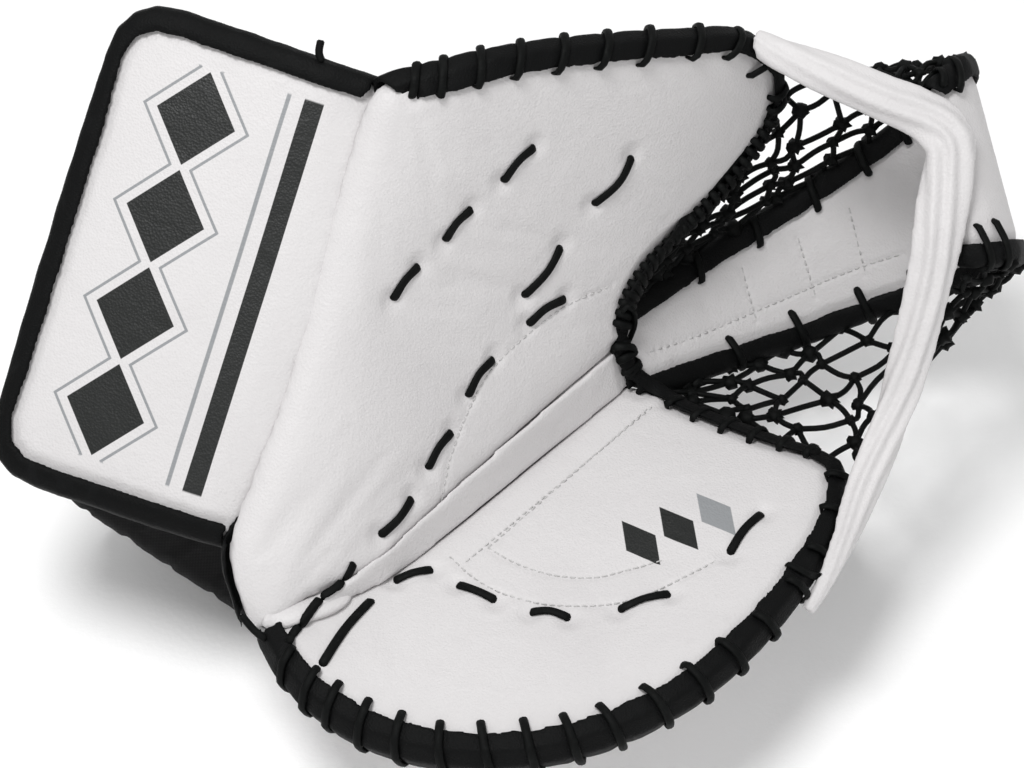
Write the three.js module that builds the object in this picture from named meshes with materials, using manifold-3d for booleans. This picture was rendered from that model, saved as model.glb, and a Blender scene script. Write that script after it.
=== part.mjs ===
import * as THREE from 'three';
import { mergeVertices } from 'three/addons/utils/BufferGeometryUtils.js';
import Module from 'manifold-3d';

// The catching glove of a street hockey goalkeeper, for the left hand, lying open on its back.
// Lengths are millimetres, angles are degrees, +Z is up, +X runs from the wrist to the web.
// The working origin is the corner where the break between thumb and palm meets the web, on the
// front of the palm. The finished group is moved so that its foot stands on z = 0.

const wasm = await Module();
wasm.setup();

// Driving dimensions
const GAP = 0.3; // left between two pieces that touch
const FINEST = 0.02; // detail below this is dropped after pieces have been fitted
const LEATHER = 2.2; // folded binding tape
const BINDING_WIDTH = 9; // each leg of a binding, measured from the edge
const BREAK_HEADING = 47; // direction of the break in plan
const THUMB_LEAN = 18; // the thumb panel leans back from upright
const PALM_RIM = 8.5; // half the thickness of the palm's edge
const PALM_THICKNESS = 18;
const THUMB_RIM = 7.5;
const THUMB_THICKNESS = 21; // in the middle of the pad
const CUFF_LENGTH = 203;
const CUFF_DEPTH = 118;
const CUFF_RIM = 4.5;
const CUFF_THICKNESS = 12;
const STEM_RIM = 3;
const HAND_FLOOR = -62; // inner floor of the hand pocket, below the palm's front
const BACK_RIM = 5;
const NET_THICKNESS = 2.6;
const NET_STRAND = 3; // width of leather left between two holes of the net
const HOOD_WALL = 3;

const SPOKE_STEP = 16; // spacing of the facets round a pad's edge
const ARC_ANGLES = [90, 45, 0, -45, -90];
const MIDDLE_OF_RIM = 3; // the station of a pad's edge where the arc's angle is 0

const radians = THREE.MathUtils.degToRad;
const clamp = THREE.MathUtils.clamp;
const smooth = (x) => THREE.MathUtils.smoothstep(x, 0, 1);
const vec = (x, y, z) => new THREE.Vector3(x, y, z);
const rowPoint = ({ x, y, z }) => vec(x, y, z);

// A flat frame that a pad is drawn in: p and q lie in its plane and n points to its front.
function makeFrame(origin, along, across) {
  const p = along.clone().normalize();
  const q = across.clone().addScaledVector(p, -across.dot(p)).normalize();
  return { origin, p, q, n: p.clone().cross(q) };
}

function place(frame, p, q, n) {
  return frame.origin
    .clone()
    .addScaledVector(frame.p, p)
    .addScaledVector(frame.q, q)
    .addScaledVector(frame.n, n);
}

// Six times the signed volume is negative when the faces point inwards.
function orient(positions, index) {
  let volume = 0;
  const corner = (k) => vec(...positions.slice(index[k] * 3, index[k] * 3 + 3));
  for (let k = 0; k < index.length; k += 3) {
    volume += corner(k).dot(corner(k + 1).cross(corner(k + 2)));
  }
  if (volume < 0) {
    for (let k = 0; k < index.length; k += 3) {
      [index[k + 1], index[k + 2]] = [index[k + 2], index[k + 1]];
    }
  }
}

function closedGeometry(points, index) {
  const positions = points.flatMap((point) => point.toArray());
  orient(positions, index);
  const geometry = new THREE.BufferGeometry();
  geometry.setAttribute('position', new THREE.Float32BufferAttribute(positions, 3));
  geometry.setIndex(index);
  return geometry;
}

// A row of equal sections is skinned and closed at both ends. A U-shaped section is capped by
// joining each of its points to the one opposite, a plain section by a fan.
function loft(sections, uShaped = false) {
  const size = sections[0].length;
  const points = sections.flat();
  const index = [];
  for (let s = 0; s + 1 < sections.length; s += 1) {
    for (let j = 0; j < size; j += 1) {
      const a = s * size + j;
      const b = s * size + ((j + 1) % size);
      index.push(a, b, b + size, a, b + size, a + size);
    }
  }
  const last = (sections.length - 1) * size;
  if (uShaped) {
    for (let j = 0; j + 1 < size / 2; j += 1) {
      const k = size - 1 - j;
      index.push(j, k, j + 1, k, k - 1, j + 1);
      index.push(last + j, last + j + 1, last + k, last + k, last + j + 1, last + k - 1);
    }
  } else {
    for (const [base, turn] of [[0, false], [last, true]]) {
      const middle = vec(0, 0, 0);
      for (let j = 0; j < size; j += 1) middle.addScaledVector(points[base + j], 1 / size);
      points.push(middle);
      const hub = points.length - 1;
      for (let j = 0; j < size; j += 1) {
        const a = base + j;
        const b = base + ((j + 1) % size);
        index.push(hub, turn ? a : b, turn ? b : a);
      }
    }
  }
  return closedGeometry(points, index);
}

// The outline of a pad runs smoothly through its rows and turns at each row that has a corner
// radius. The third column, where there is one, is a height that travels along with the outline.
function outline(rows, step) {
  const starts = rows.flatMap((row, i) => (row.corner ? [i] : []));
  const runs = starts.map((start, k) => {
    const end = starts[(k + 1) % starts.length];
    const count = (end - start + rows.length) % rows.length;
    const points = Array.from({ length: count + 1 }, (_, j) => {
      const row = rows[(start + j) % rows.length];
      return vec(row.p, row.q, row.height ?? 0);
    });
    const curve = new THREE.CatmullRomCurve3(points, false, 'centripetal');
    const length = curve.getLength();
    const first = rows[start].corner / length;
    const last = 1 - rows[end].corner / length;
    return { curve, first, last, length };
  });
  const loop = [];
  runs.forEach((run, k) => {
    const next = runs[(k + 1) % runs.length];
    const pieces = Math.max(1, Math.round(((run.last - run.first) * run.length) / step));
    for (let j = 0; j <= pieces; j += 1) {
      loop.push(run.curve.getPointAt(run.first + ((run.last - run.first) * j) / pieces));
    }
    const turn = new THREE.QuadraticBezierCurve3(
      run.curve.getPointAt(run.last),
      run.curve.getPointAt(1),
      next.curve.getPointAt(next.first),
    );
    const bends = Math.max(1, Math.round(((1 - run.last) * run.length) / 8));
    for (let j = 1; j <= bends; j += 1) loop.push(turn.getPoint(j / (bends + 1)));
  });
  return loop;
}

// A pad is a height field over its outline with a round rim. Spokes run from its middle to its
// edge, and each carries the same row of stations over the front, round the rim and back.
function makePad({ frame, rows, middle, front, thickness, rim, rings }) {
  const edge = outline(rows, SPOKE_STEP);
  const count = edge.length;
  const hub = new THREE.Vector2(...middle);
  const spokes = edge.map((point, i) => {
    const before = edge[(i + count - 1) % count];
    const after = edge[(i + 1) % count];
    const inward = new THREE.Vector2(before.y - after.y, after.x - before.x).normalize();
    const start = new THREE.Vector2(point.x, point.y);
    const reach = hub.distanceTo(start);
    const direction = hub.clone().sub(start).normalize();
    const stretch = 1 / Math.max(0.55, direction.dot(inward));
    return { start, direction, reach, stretch, edge: point };
  });
  const surface = (spoke, travelled, angle, depth) => {
    const at = spoke.start.clone().addScaledVector(spoke.direction, travelled);
    const height = front(at.x, at.y, 1 - travelled / spoke.reach, spoke.edge);
    return place(frame, at.x, at.y, height - depth);
  };
  const stationsOf = (spoke) => {
    const leg = BINDING_WIDTH * spoke.stretch;
    const outward = vec(0, 0, 0)
      .addScaledVector(frame.p, -spoke.direction.x)
      .addScaledVector(frame.q, -spoke.direction.y);
    const rimStations = ARC_ANGLES.map((angle) => {
      const cosine = Math.cos(radians(angle));
      const sine = Math.sin(radians(angle));
      const inset = rim * (1 - cosine) * spoke.stretch;
      const out = outward.clone().multiplyScalar(cosine).addScaledVector(frame.n, sine);
      return { point: surface(spoke, inset, angle, rim * (1 - sine)), out };
    });
    const taped = [
      { point: surface(spoke, leg, 90, 0), out: frame.n.clone() },
      ...rimStations,
      { point: surface(spoke, leg, -90, 2 * rim), out: frame.n.clone().negate() },
    ];
    const inner = rings.map((ring) => {
      const travelled = leg + (spoke.reach - leg) * ring;
      const depth = 2 * rim + (thickness - 2 * rim) * Math.sin((ring * Math.PI) / 2);
      return { top: surface(spoke, travelled, 90, 0), bottom: surface(spoke, travelled, 90, depth) };
    });
    return { taped, inner };
  };
  const stations = spokes.map(stationsOf);
  const columns = stations.map(({ taped, inner }) => [
    ...inner.map(({ top }) => top).reverse(),
    ...taped.map(({ point }) => point),
    ...inner.map(({ bottom }) => bottom),
  ]);
  const length = columns[0].length;
  const points = columns.flat();
  const centre = front(hub.x, hub.y, 0, edge[0]);
  points.push(place(frame, hub.x, hub.y, centre), place(frame, hub.x, hub.y, centre - thickness));
  const index = [];
  for (let i = 0; i < count; i += 1) {
    const a = i * length;
    const b = ((i + 1) % count) * length;
    for (let j = 0; j + 1 < length; j += 1) {
      index.push(a + j, b + j, b + j + 1, a + j, b + j + 1, a + j + 1);
    }
    index.push(points.length - 2, b, a, points.length - 1, a + length - 1, b + length - 1);
  }
  const taped = stations.map((station) => station.taped);
  return { geometry: closedGeometry(points, index), taped, spokes };
}

function spokeNear(pad, [p, q]) {
  const target = new THREE.Vector2(p, q);
  const gaps = pad.spokes.map(({ start }) => start.distanceTo(target));
  return gaps.indexOf(Math.min(...gaps));
}

function wrapSection(stations) {
  const inner = stations.map(({ point, out }) => point.clone().addScaledVector(out, GAP));
  const outer = stations.map(({ point, out }) => point.clone().addScaledVector(out, GAP + LEATHER));
  return [...inner, ...outer.reverse()];
}

// A binding is folded over a pad's edge from one point of the outline to another, going round
// the way that the outline runs. It starts at the front leg, or further round the edge.
function makeBinding(pad, from, to, firstStation = 0) {
  const count = pad.spokes.length;
  const first = spokeNear(pad, from);
  const steps = (spokeNear(pad, to) - first + count) % count;
  const sections = [];
  for (let k = 0; k <= steps; k += 1) {
    const stations = pad.taped[(first + k) % count].slice(firstStation);
    sections.push(wrapSection(stations));
  }
  return loft(sections, true);
}

function inflate(geometry, distance) {
  const grown = geometry.clone();
  grown.computeVertexNormals();
  const { position, normal } = grown.attributes;
  for (let i = 0; i < position.count; i += 1) {
    position.setXYZ(
      i,
      position.getX(i) + normal.getX(i) * distance,
      position.getY(i) + normal.getY(i) * distance,
      position.getZ(i) + normal.getZ(i) * distance,
    );
  }
  grown.deleteAttribute('normal');
  return grown;
}

function toSolid(geometry) {
  return new wasm.Manifold(
    new wasm.Mesh({
      numProp: 3,
      vertProperties: new Float32Array(geometry.attributes.position.array),
      triVerts: new Uint32Array(geometry.index.array),
    }),
  );
}

function toGeometry(solid) {
  const mesh = solid.simplify(FINEST).getMesh();
  const geometry = new THREE.BufferGeometry();
  geometry.setAttribute('position', new THREE.BufferAttribute(mesh.vertProperties, 3));
  geometry.setIndex(new THREE.BufferAttribute(mesh.triVerts, 1));
  return mergeVertices(geometry);
}

function largestBody(solid) {
  const bodies = solid.decompose();
  return bodies.reduce((best, body) => (body.volume() > best.volume() ? body : best));
}

// A piece gives way to its neighbours by the gap, and crumbs that this leaves are dropped.
function fitted(geometry, ...neighbours) {
  let solid = toSolid(geometry);
  for (const neighbour of neighbours) {
    solid = solid.subtract(toSolid(inflate(neighbour, GAP))).subtract(toSolid(neighbour));
  }
  return toGeometry(largestBody(solid));
}

// Frames of the three main panels
const breakLine = vec(Math.cos(radians(BREAK_HEADING)), Math.sin(radians(BREAK_HEADING)), 0);
const thumbSide = vec(-breakLine.y, breakLine.x, 0);
const upward = vec(0, 0, 1);
const palmFrame = makeFrame(vec(0, 0, 0), breakLine, thumbSide);
const thumbUp = thumbSide
  .clone()
  .multiplyScalar(Math.sin(radians(THUMB_LEAN)))
  .addScaledVector(upward, Math.cos(radians(THUMB_LEAN)));
const thumbFrame = makeFrame(vec(0, 0, 0), breakLine, thumbUp);

// Palm: a D-shaped pad, cupped towards its outer edge and lifted at the heel
const PALM_ROWS = [
  { p: 7, q: 9, corner: 5 },
  { p: -122, q: 9 },
  { p: -150, q: 13 },
  { p: -178, q: 22 },
  { p: -204, q: 27, corner: 8 },
  { p: -214, q: -6 },
  { p: -210, q: -42 },
  { p: -195, q: -76 },
  { p: -171, q: -103 },
  { p: -136, q: -123 },
  { p: -100, q: -131 },
  { p: -62, q: -130 },
  { p: -28, q: -124 },
  { p: 4, q: -114 },
  { p: 30, q: -95, corner: 12 },
  { p: 23, q: -65 },
  { p: 15, q: -32 },
];

const PALM_CUP = { height: 20, reach: 160 };
const HEEL_LIFT = { height: 7, from: -150, over: 50, below: -50, width: 60 };

function palmFront(p, q) {
  const cup = PALM_CUP.height * (q / PALM_CUP.reach) ** 2;
  const { height, from, over, below, width } = HEEL_LIFT;
  return cup + height * smooth((from - p) / over) * smooth((q - below) / width);
}

const palm = makePad({
  frame: palmFrame,
  rows: PALM_ROWS,
  middle: [-88, -62],
  front: palmFront,
  thickness: PALM_THICKNESS,
  rim: PALM_RIM,
  rings: [0.3, 0.65],
});

// Thumb: a four-sided pad that twists from the cuff to the web and rolls away beside the cuff
const THUMB_ROWS = [
  { p: 6, q: 20, corner: 4 },
  { p: 14, q: 38 },
  { p: 34, q: 51 },
  { p: 70, q: 61 },
  { p: 100, q: 81 },
  { p: 108, q: 108 },
  { p: 90, q: 139, corner: 14 },
  { p: 24, q: 167 },
  { p: -18, q: 181 },
  { p: -60, q: 187, corner: 8 },
  { p: -132, q: 100 },
  { p: -200, q: 38, corner: 8 },
  { p: -209, q: 8, corner: 5 },
  { p: -180, q: 13 },
  { p: -160, q: 6 },
  { p: -117, q: 10 },
];
const THUMB_LEFT = { low: [-200, 38], high: [-60, 187] };
const THUMB_ROLL = { depth: 8, reach: 36 };
const THUMB_DISH = { depth: 9, p: -50, q: 88, halfP: 60, halfQ: 50 };
const THUMB_TWIST = { slope: 0.02, turn: 0.00203, heel: 0.0016, heelStart: -135 };

function leftMargin(p, q) {
  const [p0, q0] = THUMB_LEFT.low;
  const [p1, q1] = THUMB_LEFT.high;
  const length = Math.hypot(p1 - p0, q1 - q0);
  return ((p - p0) * (q1 - q0) - (q - q0) * (p1 - p0)) / length;
}

function thumbFront(p, q) {
  const { slope, turn, heel, heelStart } = THUMB_TWIST;
  const twist = slope * q + turn * p * q - heel * Math.max(0, heelStart - p) ** 2;
  const roll = THUMB_ROLL.depth * Math.max(0, 1 - leftMargin(p, q) / THUMB_ROLL.reach) ** 2;
  const away =
    ((p - THUMB_DISH.p) / THUMB_DISH.halfP) ** 2 + ((q - THUMB_DISH.q) / THUMB_DISH.halfQ) ** 2;
  return twist - roll - THUMB_DISH.depth / (1 + away);
}

const thumb = makePad({
  frame: thumbFrame,
  rows: THUMB_ROWS,
  middle: [-55, 90],
  front: thumbFront,
  thickness: THUMB_THICKNESS,
  rim: THUMB_RIM,
  rings: [0.2, 0.5, 0.78],
});

// Cuff: a flat rounded plate whose inner margin bends back behind the thumb's roll
const CUFF_ORIGIN = vec(-164, -114, 25);
const CUFF_ALONG = vec(0.306, 0.647, 0.699);
const CUFF_ACROSS = vec(-0.933, 0.35, 0.085);
const CUFF_CORNER = 26;
const CUFF_BEND = { depth: 9, reach: 42 };
const cuffFrame = makeFrame(CUFF_ORIGIN, CUFF_ALONG, CUFF_ACROSS);
const CUFF_ROWS = [
  { p: 2, q: 0, corner: 6 },
  { p: CUFF_LENGTH - 2, q: 0, corner: 6 },
  { p: CUFF_LENGTH, q: CUFF_DEPTH, corner: CUFF_CORNER },
  { p: 0, q: CUFF_DEPTH, corner: CUFF_CORNER },
];

const cuff = makePad({
  frame: cuffFrame,
  rows: CUFF_ROWS,
  middle: [CUFF_LENGTH / 2, CUFF_DEPTH / 2],
  front: (p, q) => -CUFF_BEND.depth * Math.max(0, 1 - q / CUFF_BEND.reach) ** 2,
  thickness: CUFF_THICKNESS,
  rim: CUFF_RIM,
  rings: [0.25, 0.6],
});

const bindings = {
  palm: makeBinding(palm, [-204, 24], [9, -4]),
  thumb: makeBinding(thumb, [8, 24], [-58, 187]),
  heel: makeBinding(thumb, [-194, 44], [-208, 12], MIDDLE_OF_RIM),
  cuff: makeBinding(cuff, [CUFF_LENGTH, 8], [0, 8]),
};

// Break strip: a tapering gusset between thumb and palm, widest at the web
const STRIP_STATIONS = 12;
const STRIP_SINK = 1; // below the thumb's front
const STRIP_BEVEL = { in: 1, down: 1.5 };
const STRIP_THICKNESS = { least: 4, most: 9 };
const STRIP_ROWS = {
  web: { p: 4, low: -8, high: 23 },
  heel: { p: -196, low: -5, high: 13 },
};

function stripSection(p, growth = 0) {
  const { web, heel } = STRIP_ROWS;
  const along = (p - web.p) / (heel.p - web.p);
  const low = THREE.MathUtils.lerp(web.low, heel.low, along);
  const high = THREE.MathUtils.lerp(web.high, heel.high, along);
  const front = thumbFront(p, (low + high) / 2) - STRIP_SINK + growth;
  const { least, most } = STRIP_THICKNESS;
  const depth = Math.min(most, least + (high - low) / 2) + 2 * growth;
  return [
    [low - growth + STRIP_BEVEL.in, front],
    [high + growth - STRIP_BEVEL.in, front],
    [high + growth, front - STRIP_BEVEL.down],
    [high + growth, front - depth],
    [low - growth, front - depth],
    [low - growth, front - STRIP_BEVEL.down],
  ].map(([q, n]) => place(thumbFrame, p, q, n));
}

function makeBreakStrip() {
  const sections = [];
  for (let k = 0; k <= STRIP_STATIONS; k += 1) {
    const along = k / STRIP_STATIONS;
    sections.push(stripSection(THREE.MathUtils.lerp(STRIP_ROWS.web.p, STRIP_ROWS.heel.p, along)));
  }
  return loft(sections);
}

// The root binding is folded over the strip's web end and closes the loop of binding there.
function makeRootBinding() {
  const end = STRIP_ROWS.web.p + GAP + LEATHER;
  const cover = [end, end - BINDING_WIDTH / 2, end - BINDING_WIDTH];
  return loft(cover.map((p) => stripSection(p, GAP + LEATHER)));
}

// Web stem: the strip that runs from the break under the pocket and up behind the band
const STEM_STATIONS = 18;
const STEM_ROWS = [
  { ux: -12, uy: 22, uz: 25, lx: 0, ly: -2, lz: -4 },
  { ux: 26, uy: 62, uz: 20, lx: 49, ly: 33, lz: -18 },
  { ux: 58, uy: 83, uz: 26, lx: 79, ly: 48, lz: -20 },
  { ux: 87, uy: 96, uz: 39, lx: 109, ly: 57, lz: -13 },
  { ux: 120, uy: 106, uz: 62, lx: 145, ly: 57, lz: 5 },
  { ux: 140, uy: 101, uz: 92, lx: 164, ly: 42, lz: 34 },
  { ux: 138, uy: 82, uz: 122, lx: 161, ly: 17, lz: 64 },
  { ux: 124, uy: 62, uz: 127, lx: 146, ly: 3, lz: 77 },
  { ux: 116, uy: 58, uz: 120, lx: 134, ly: 6, lz: 74 },
];

const stemUpper = new THREE.CatmullRomCurve3(
  STEM_ROWS.map(({ ux, uy, uz }) => vec(ux, uy, uz)),
  false,
  'centripetal',
);
const stemLower = new THREE.CatmullRomCurve3(
  STEM_ROWS.map(({ lx, ly, lz }) => vec(lx, ly, lz)),
  false,
  'centripetal',
);

function stemStation(along) {
  const upper = stemUpper.getPoint(along);
  const lower = stemLower.getPoint(along);
  const centre = upper.clone().add(lower).multiplyScalar(0.5);
  const side = lower.clone().sub(upper);
  const half = side.length() / 2;
  side.normalize();
  const tangent = stemUpper.getTangent(along).add(stemLower.getTangent(along)).normalize();
  const normal = side.clone().cross(tangent).normalize();
  return { centre, side, half, normal };
}

// One edge of the stem as stations, from the front leg of its binding round to the back leg
function stemEdge({ centre, side, half, normal }, sign) {
  const at = (across, height) =>
    centre.clone().addScaledVector(side, sign * across).addScaledVector(normal, height);
  const arc = ARC_ANGLES.map((angle) => {
    const cosine = Math.cos(radians(angle));
    const sine = Math.sin(radians(angle));
    const out = side.clone().multiplyScalar(sign * cosine).addScaledVector(normal, sine);
    return { point: at(half - STEM_RIM * (1 - cosine), STEM_RIM * sine), out };
  });
  return [
    { point: at(half - BINDING_WIDTH, STEM_RIM), out: normal.clone() },
    ...arc,
    { point: at(half - BINDING_WIDTH, -STEM_RIM), out: normal.clone().negate() },
  ];
}

const stemStations = Array.from({ length: STEM_STATIONS + 1 }, (_, k) =>
  stemStation(k / STEM_STATIONS),
);

function makeStem() {
  const sections = stemStations.map((station) => {
    const lower = stemEdge(station, 1).map(({ point }) => point);
    const upper = stemEdge(station, -1).map(({ point }) => point);
    return [...lower, ...upper.reverse()];
  });
  return loft(sections);
}

function makeStemBinding(sign) {
  return loft(stemStations.map((station) => wrapSection(stemEdge(station, sign))), true);
}

// Web band: a leather roll round the mouth of the pocket, from the thumb to the palm's edge
const BAND_STATIONS = 28;
const BAND_SIDES = 12;
const BAND_FACING = vec(0, -0.669, 0.743);
const BAND_ROWS = [
  { x: 48, y: 79, z: 135, width: 12, thick: 8 },
  { x: 59, y: 73, z: 132, width: 16, thick: 10 },
  { x: 86, y: 62, z: 127, width: 20, thick: 13 },
  { x: 105, y: 54, z: 123, width: 21, thick: 14 },
  { x: 122, y: 47, z: 119, width: 23, thick: 14 },
  { x: 130, y: 38, z: 114, width: 26, thick: 14 },
  { x: 129, y: 27, z: 105, width: 25, thick: 14 },
  { x: 126, y: 14, z: 95, width: 24, thick: 14 },
  { x: 123, y: 0, z: 84, width: 22, thick: 14 },
  { x: 118, y: -15, z: 63, width: 20, thick: 14 },
  { x: 110, y: -35, z: 36, width: 19, thick: 13 },
  { x: 96, y: -63, z: 15, width: 17, thick: 12 },
  { x: 85, y: -89, z: 8, width: 13, thick: 10 },
  { x: 74, y: -112, z: 3, width: 9, thick: 8 },
  { x: 68, y: -121, z: -1, width: 7, thick: 6 },
];

function makeBand() {
  const route = new THREE.CatmullRomCurve3(BAND_ROWS.map(rowPoint), false, 'centripetal');
  const girth = new THREE.CatmullRomCurve3(
    BAND_ROWS.map(({ width, thick }) => vec(width, thick, 0)),
    false,
    'centripetal',
  );
  const sections = [];
  for (let k = 0; k <= BAND_STATIONS; k += 1) {
    const along = k / BAND_STATIONS;
    const centre = route.getPoint(along);
    const tangent = route.getTangent(along);
    const wide = tangent.clone().cross(BAND_FACING).normalize();
    const thin = wide.clone().cross(tangent).normalize();
    const size = girth.getPoint(along);
    const section = [];
    for (let j = 0; j < BAND_SIDES; j += 1) {
      const angle = (j / BAND_SIDES) * 2 * Math.PI;
      section.push(
        centre
          .clone()
          .addScaledVector(wide, (Math.cos(angle) * size.x) / 2)
          .addScaledVector(thin, (Math.sin(angle) * size.y) / 2),
      );
    }
    sections.push(section);
  }
  return loft(sections);
}

// Nets: laced leather mesh that closes the pocket on both sides of the stem. Each is a leaf-shaped
// sheet between a panel's web edge, carried on along the band, and the stem's edge.
const NET_COLUMNS = 8;
const NET_ROWS = 1;
const NET_RANGE = { first: 0.05, last: 0.95 };
const HOLE_REACH = 9; // half the length of the punch that opens a hole
const SMALLEST_HOLE = 7;

const onThumbEdge = ({ p, q }) => place(thumbFrame, p, q, thumbFront(p, q) - THUMB_RIM);
const onPalmEdge = ({ p, q }) => place(palmFrame, p, q, palmFront(p, q) - PALM_RIM);

const NETS = {
  upper: {
    panelEdge: [...THUMB_ROWS.slice(0, 6).map(onThumbEdge), ...BAND_ROWS.slice(2, 4).map(rowPoint)],
    stemEdge: stemUpper,
    holes: { along: 8, across: 3 },
  },
  lower: {
    panelEdge: [
      ...[PALM_ROWS[0], ...PALM_ROWS.slice(-3).reverse()].map(onPalmEdge),
      ...BAND_ROWS.slice(8, 11).reverse().map(rowPoint),
    ],
    stemEdge: stemLower,
    holes: { along: 8, across: 3 },
  },
};

function netSurface({ panelEdge, stemEdge: edge }) {
  const panelCurve = new THREE.CatmullRomCurve3(panelEdge, false, 'centripetal');
  return (u, v) => panelCurve.getPointAt(u).lerp(edge.getPointAt(u), v);
}

function netNormal(surface, u, v) {
  const along = surface(Math.min(1, u + 0.02), v).sub(surface(Math.max(0, u - 0.02), v));
  const across = surface(u, 1).sub(surface(u, 0));
  return along.cross(across).normalize();
}

function makeNetSheet(surface) {
  const points = [];
  const { first, last } = NET_RANGE;
  for (const sign of [1, -1]) {
    for (let i = 0; i <= NET_COLUMNS; i += 1) {
      for (let j = 0; j <= NET_ROWS; j += 1) {
        const u = first + ((last - first) * i) / NET_COLUMNS;
        const v = j / NET_ROWS;
        const normal = netNormal(surface, u, v);
        points.push(surface(u, v).addScaledVector(normal, (sign * NET_THICKNESS) / 2));
      }
    }
  }
  const index = [];
  const layer = (NET_COLUMNS + 1) * (NET_ROWS + 1);
  const at = (side, i, j) => side * layer + i * (NET_ROWS + 1) + j;
  const quad = (a, b, c, d) => index.push(a, b, c, a, c, d);
  for (let i = 0; i < NET_COLUMNS; i += 1) {
    for (let j = 0; j < NET_ROWS; j += 1) {
      quad(at(0, i, j), at(0, i + 1, j), at(0, i + 1, j + 1), at(0, i, j + 1));
      quad(at(1, i, j), at(1, i, j + 1), at(1, i + 1, j + 1), at(1, i + 1, j));
    }
    quad(at(0, i, 0), at(1, i, 0), at(1, i + 1, 0), at(0, i + 1, 0));
    quad(at(0, i, NET_ROWS), at(0, i + 1, NET_ROWS), at(1, i + 1, NET_ROWS), at(1, i, NET_ROWS));
  }
  for (let j = 0; j < NET_ROWS; j += 1) {
    quad(at(0, 0, j), at(0, 0, j + 1), at(1, 0, j + 1), at(1, 0, j));
    quad(at(0, NET_COLUMNS, j), at(1, NET_COLUMNS, j), at(1, NET_COLUMNS, j + 1), at(0, NET_COLUMNS, j + 1));
  }
  return closedGeometry(points, index);
}

// A diamond hole between four knots of the net, or nothing where it would be too small
function netHole(surface, u, v, halfU, halfV) {
  const ring = [
    surface(clamp(u - halfU, 0, 1), v),
    surface(u, v - halfV),
    surface(clamp(u + halfU, 0, 1), v),
    surface(u, v + halfV),
  ];
  const centre = surface(u, v);
  const spans = [ring[0].distanceTo(ring[2]), ring[1].distanceTo(ring[3])];
  if (Math.min(...spans) - 2 * NET_STRAND < SMALLEST_HOLE) return null;
  const shrunk = ring.map((point) => {
    const spoke = point.clone().sub(centre);
    return centre.clone().add(spoke.setLength(spoke.length() - NET_STRAND));
  });
  const normal = netNormal(surface, u, v);
  return loft(
    [-HOLE_REACH, HOLE_REACH].map((depth) =>
      shrunk.map((point) => point.clone().addScaledVector(normal, depth)),
    ),
  );
}

function makeNet(net, ...neighbours) {
  const surface = netSurface(net);
  let sheet = toSolid(makeNetSheet(surface));
  const { along, across } = net.holes;
  for (let row = 0; row < 2 * across - 1; row += 1) {
    for (let column = 0; column < along; column += 1) {
      const u = (column + 0.5 + (row % 2) * 0.5) / along;
      const v = (row + 1) / (2 * across);
      const hole = netHole(surface, u, v, 0.5 / along, 0.5 / across);
      if (hole) sheet = sheet.subtract(toSolid(hole));
    }
  }
  return fitted(toGeometry(sheet), ...neighbours);
}

// Back pad: the padded tray behind the fingers, low at the wrist where the hand goes in. The
// height of a row is that of its rim, and a row without one sits under the palm panel.
const BACK_ROWS = [
  { p: -8, q: 8, height: -24, corner: 8 },
  { p: -30, q: 42, height: -16 },
  { p: -70, q: 64, height: -14 },
  { p: -110, q: 70, height: -22 },
  { p: -144, q: 73, height: -50 },
  { p: -168, q: 70, height: -52, corner: 22 },
  { p: -184, q: 36, height: -36 },
  { p: -194, q: 4 },
  { p: -192, q: -38 },
  { p: -179, q: -70 },
  { p: -158, q: -96 },
  { p: -128, q: -116 },
  { p: -97, q: -125 },
  { p: -62, q: -125 },
  { p: -30, q: -118 },
  { p: -2, q: -104 },
  { p: 13, q: -84, corner: 14 },
  { p: 5, q: -56 },
  { p: -2, q: -26 },
].map((row) => ({ height: palmFront(row.p, row.q) - PALM_THICKNESS - GAP, ...row }));
const BACK_FLAT = 0.55; // share of each spoke that lies flat on the ground

const back = makePad({
  frame: palmFrame,
  rows: BACK_ROWS,
  middle: [-78, 0],
  front: (p, q, share, edge) =>
    THREE.MathUtils.lerp(HAND_FLOOR, edge.z, smooth((share - BACK_FLAT) / (1 - BACK_FLAT)) ** 0.8),
  thickness: 2 * BACK_RIM,
  rim: BACK_RIM,
  rings: [0.2, 0.38, 0.52, 0.75],
});

// Thumb hood: the fabric cover behind the thumb panel, open towards the hand pocket
const HOOD_SIDES = 10;
const HOOD_FULLNESS = 0.7; // 1 is round, less is squarer
const HOOD_LID = 6; // how far the raw hood reaches into the thumb before it is cut to fit
const HOOD_ROWS = [
  { q: -14, left: -150, right: -30, depth: 36 },
  { q: 4, left: -148, right: -28, depth: 35 },
  { q: 40, left: -138, right: -20, depth: 34 },
  { q: 80, left: -116, right: -12, depth: 31 },
  { q: 120, left: -90, right: -6, depth: 26 },
  { q: 148, left: -70, right: -10, depth: 18 },
  { q: 162, left: -58, right: -18, depth: 9 },
];

function hoodBody(inset) {
  const rows = HOOD_ROWS.map((row, k) => {
    const top = k === HOOD_ROWS.length - 1 ? inset : 0;
    const bottom = k === 0 ? inset : 0;
    return { ...row, q: row.q - top - bottom };
  });
  return loft(
    rows.map(({ q, left, right, depth }) => {
      const middle = (left + right) / 2;
      const half = (right - left) / 2 - inset;
      const seat = thumbFront(middle, Math.max(q, 0)) - THUMB_THICKNESS;
      const arc = Array.from({ length: HOOD_SIDES + 1 }, (_, j) => {
        const angle = (Math.PI * j) / HOOD_SIDES;
        const n = seat - (depth - inset) * Math.sin(angle) ** HOOD_FULLNESS;
        return place(thumbFrame, middle - half * Math.cos(angle), q, n);
      });
      const lid = seat + HOOD_LID + inset;
      const closing = [right - inset, left + inset].map((p) => place(thumbFrame, p, q, lid));
      return [...arc, ...closing];
    }),
  );
}

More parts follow.
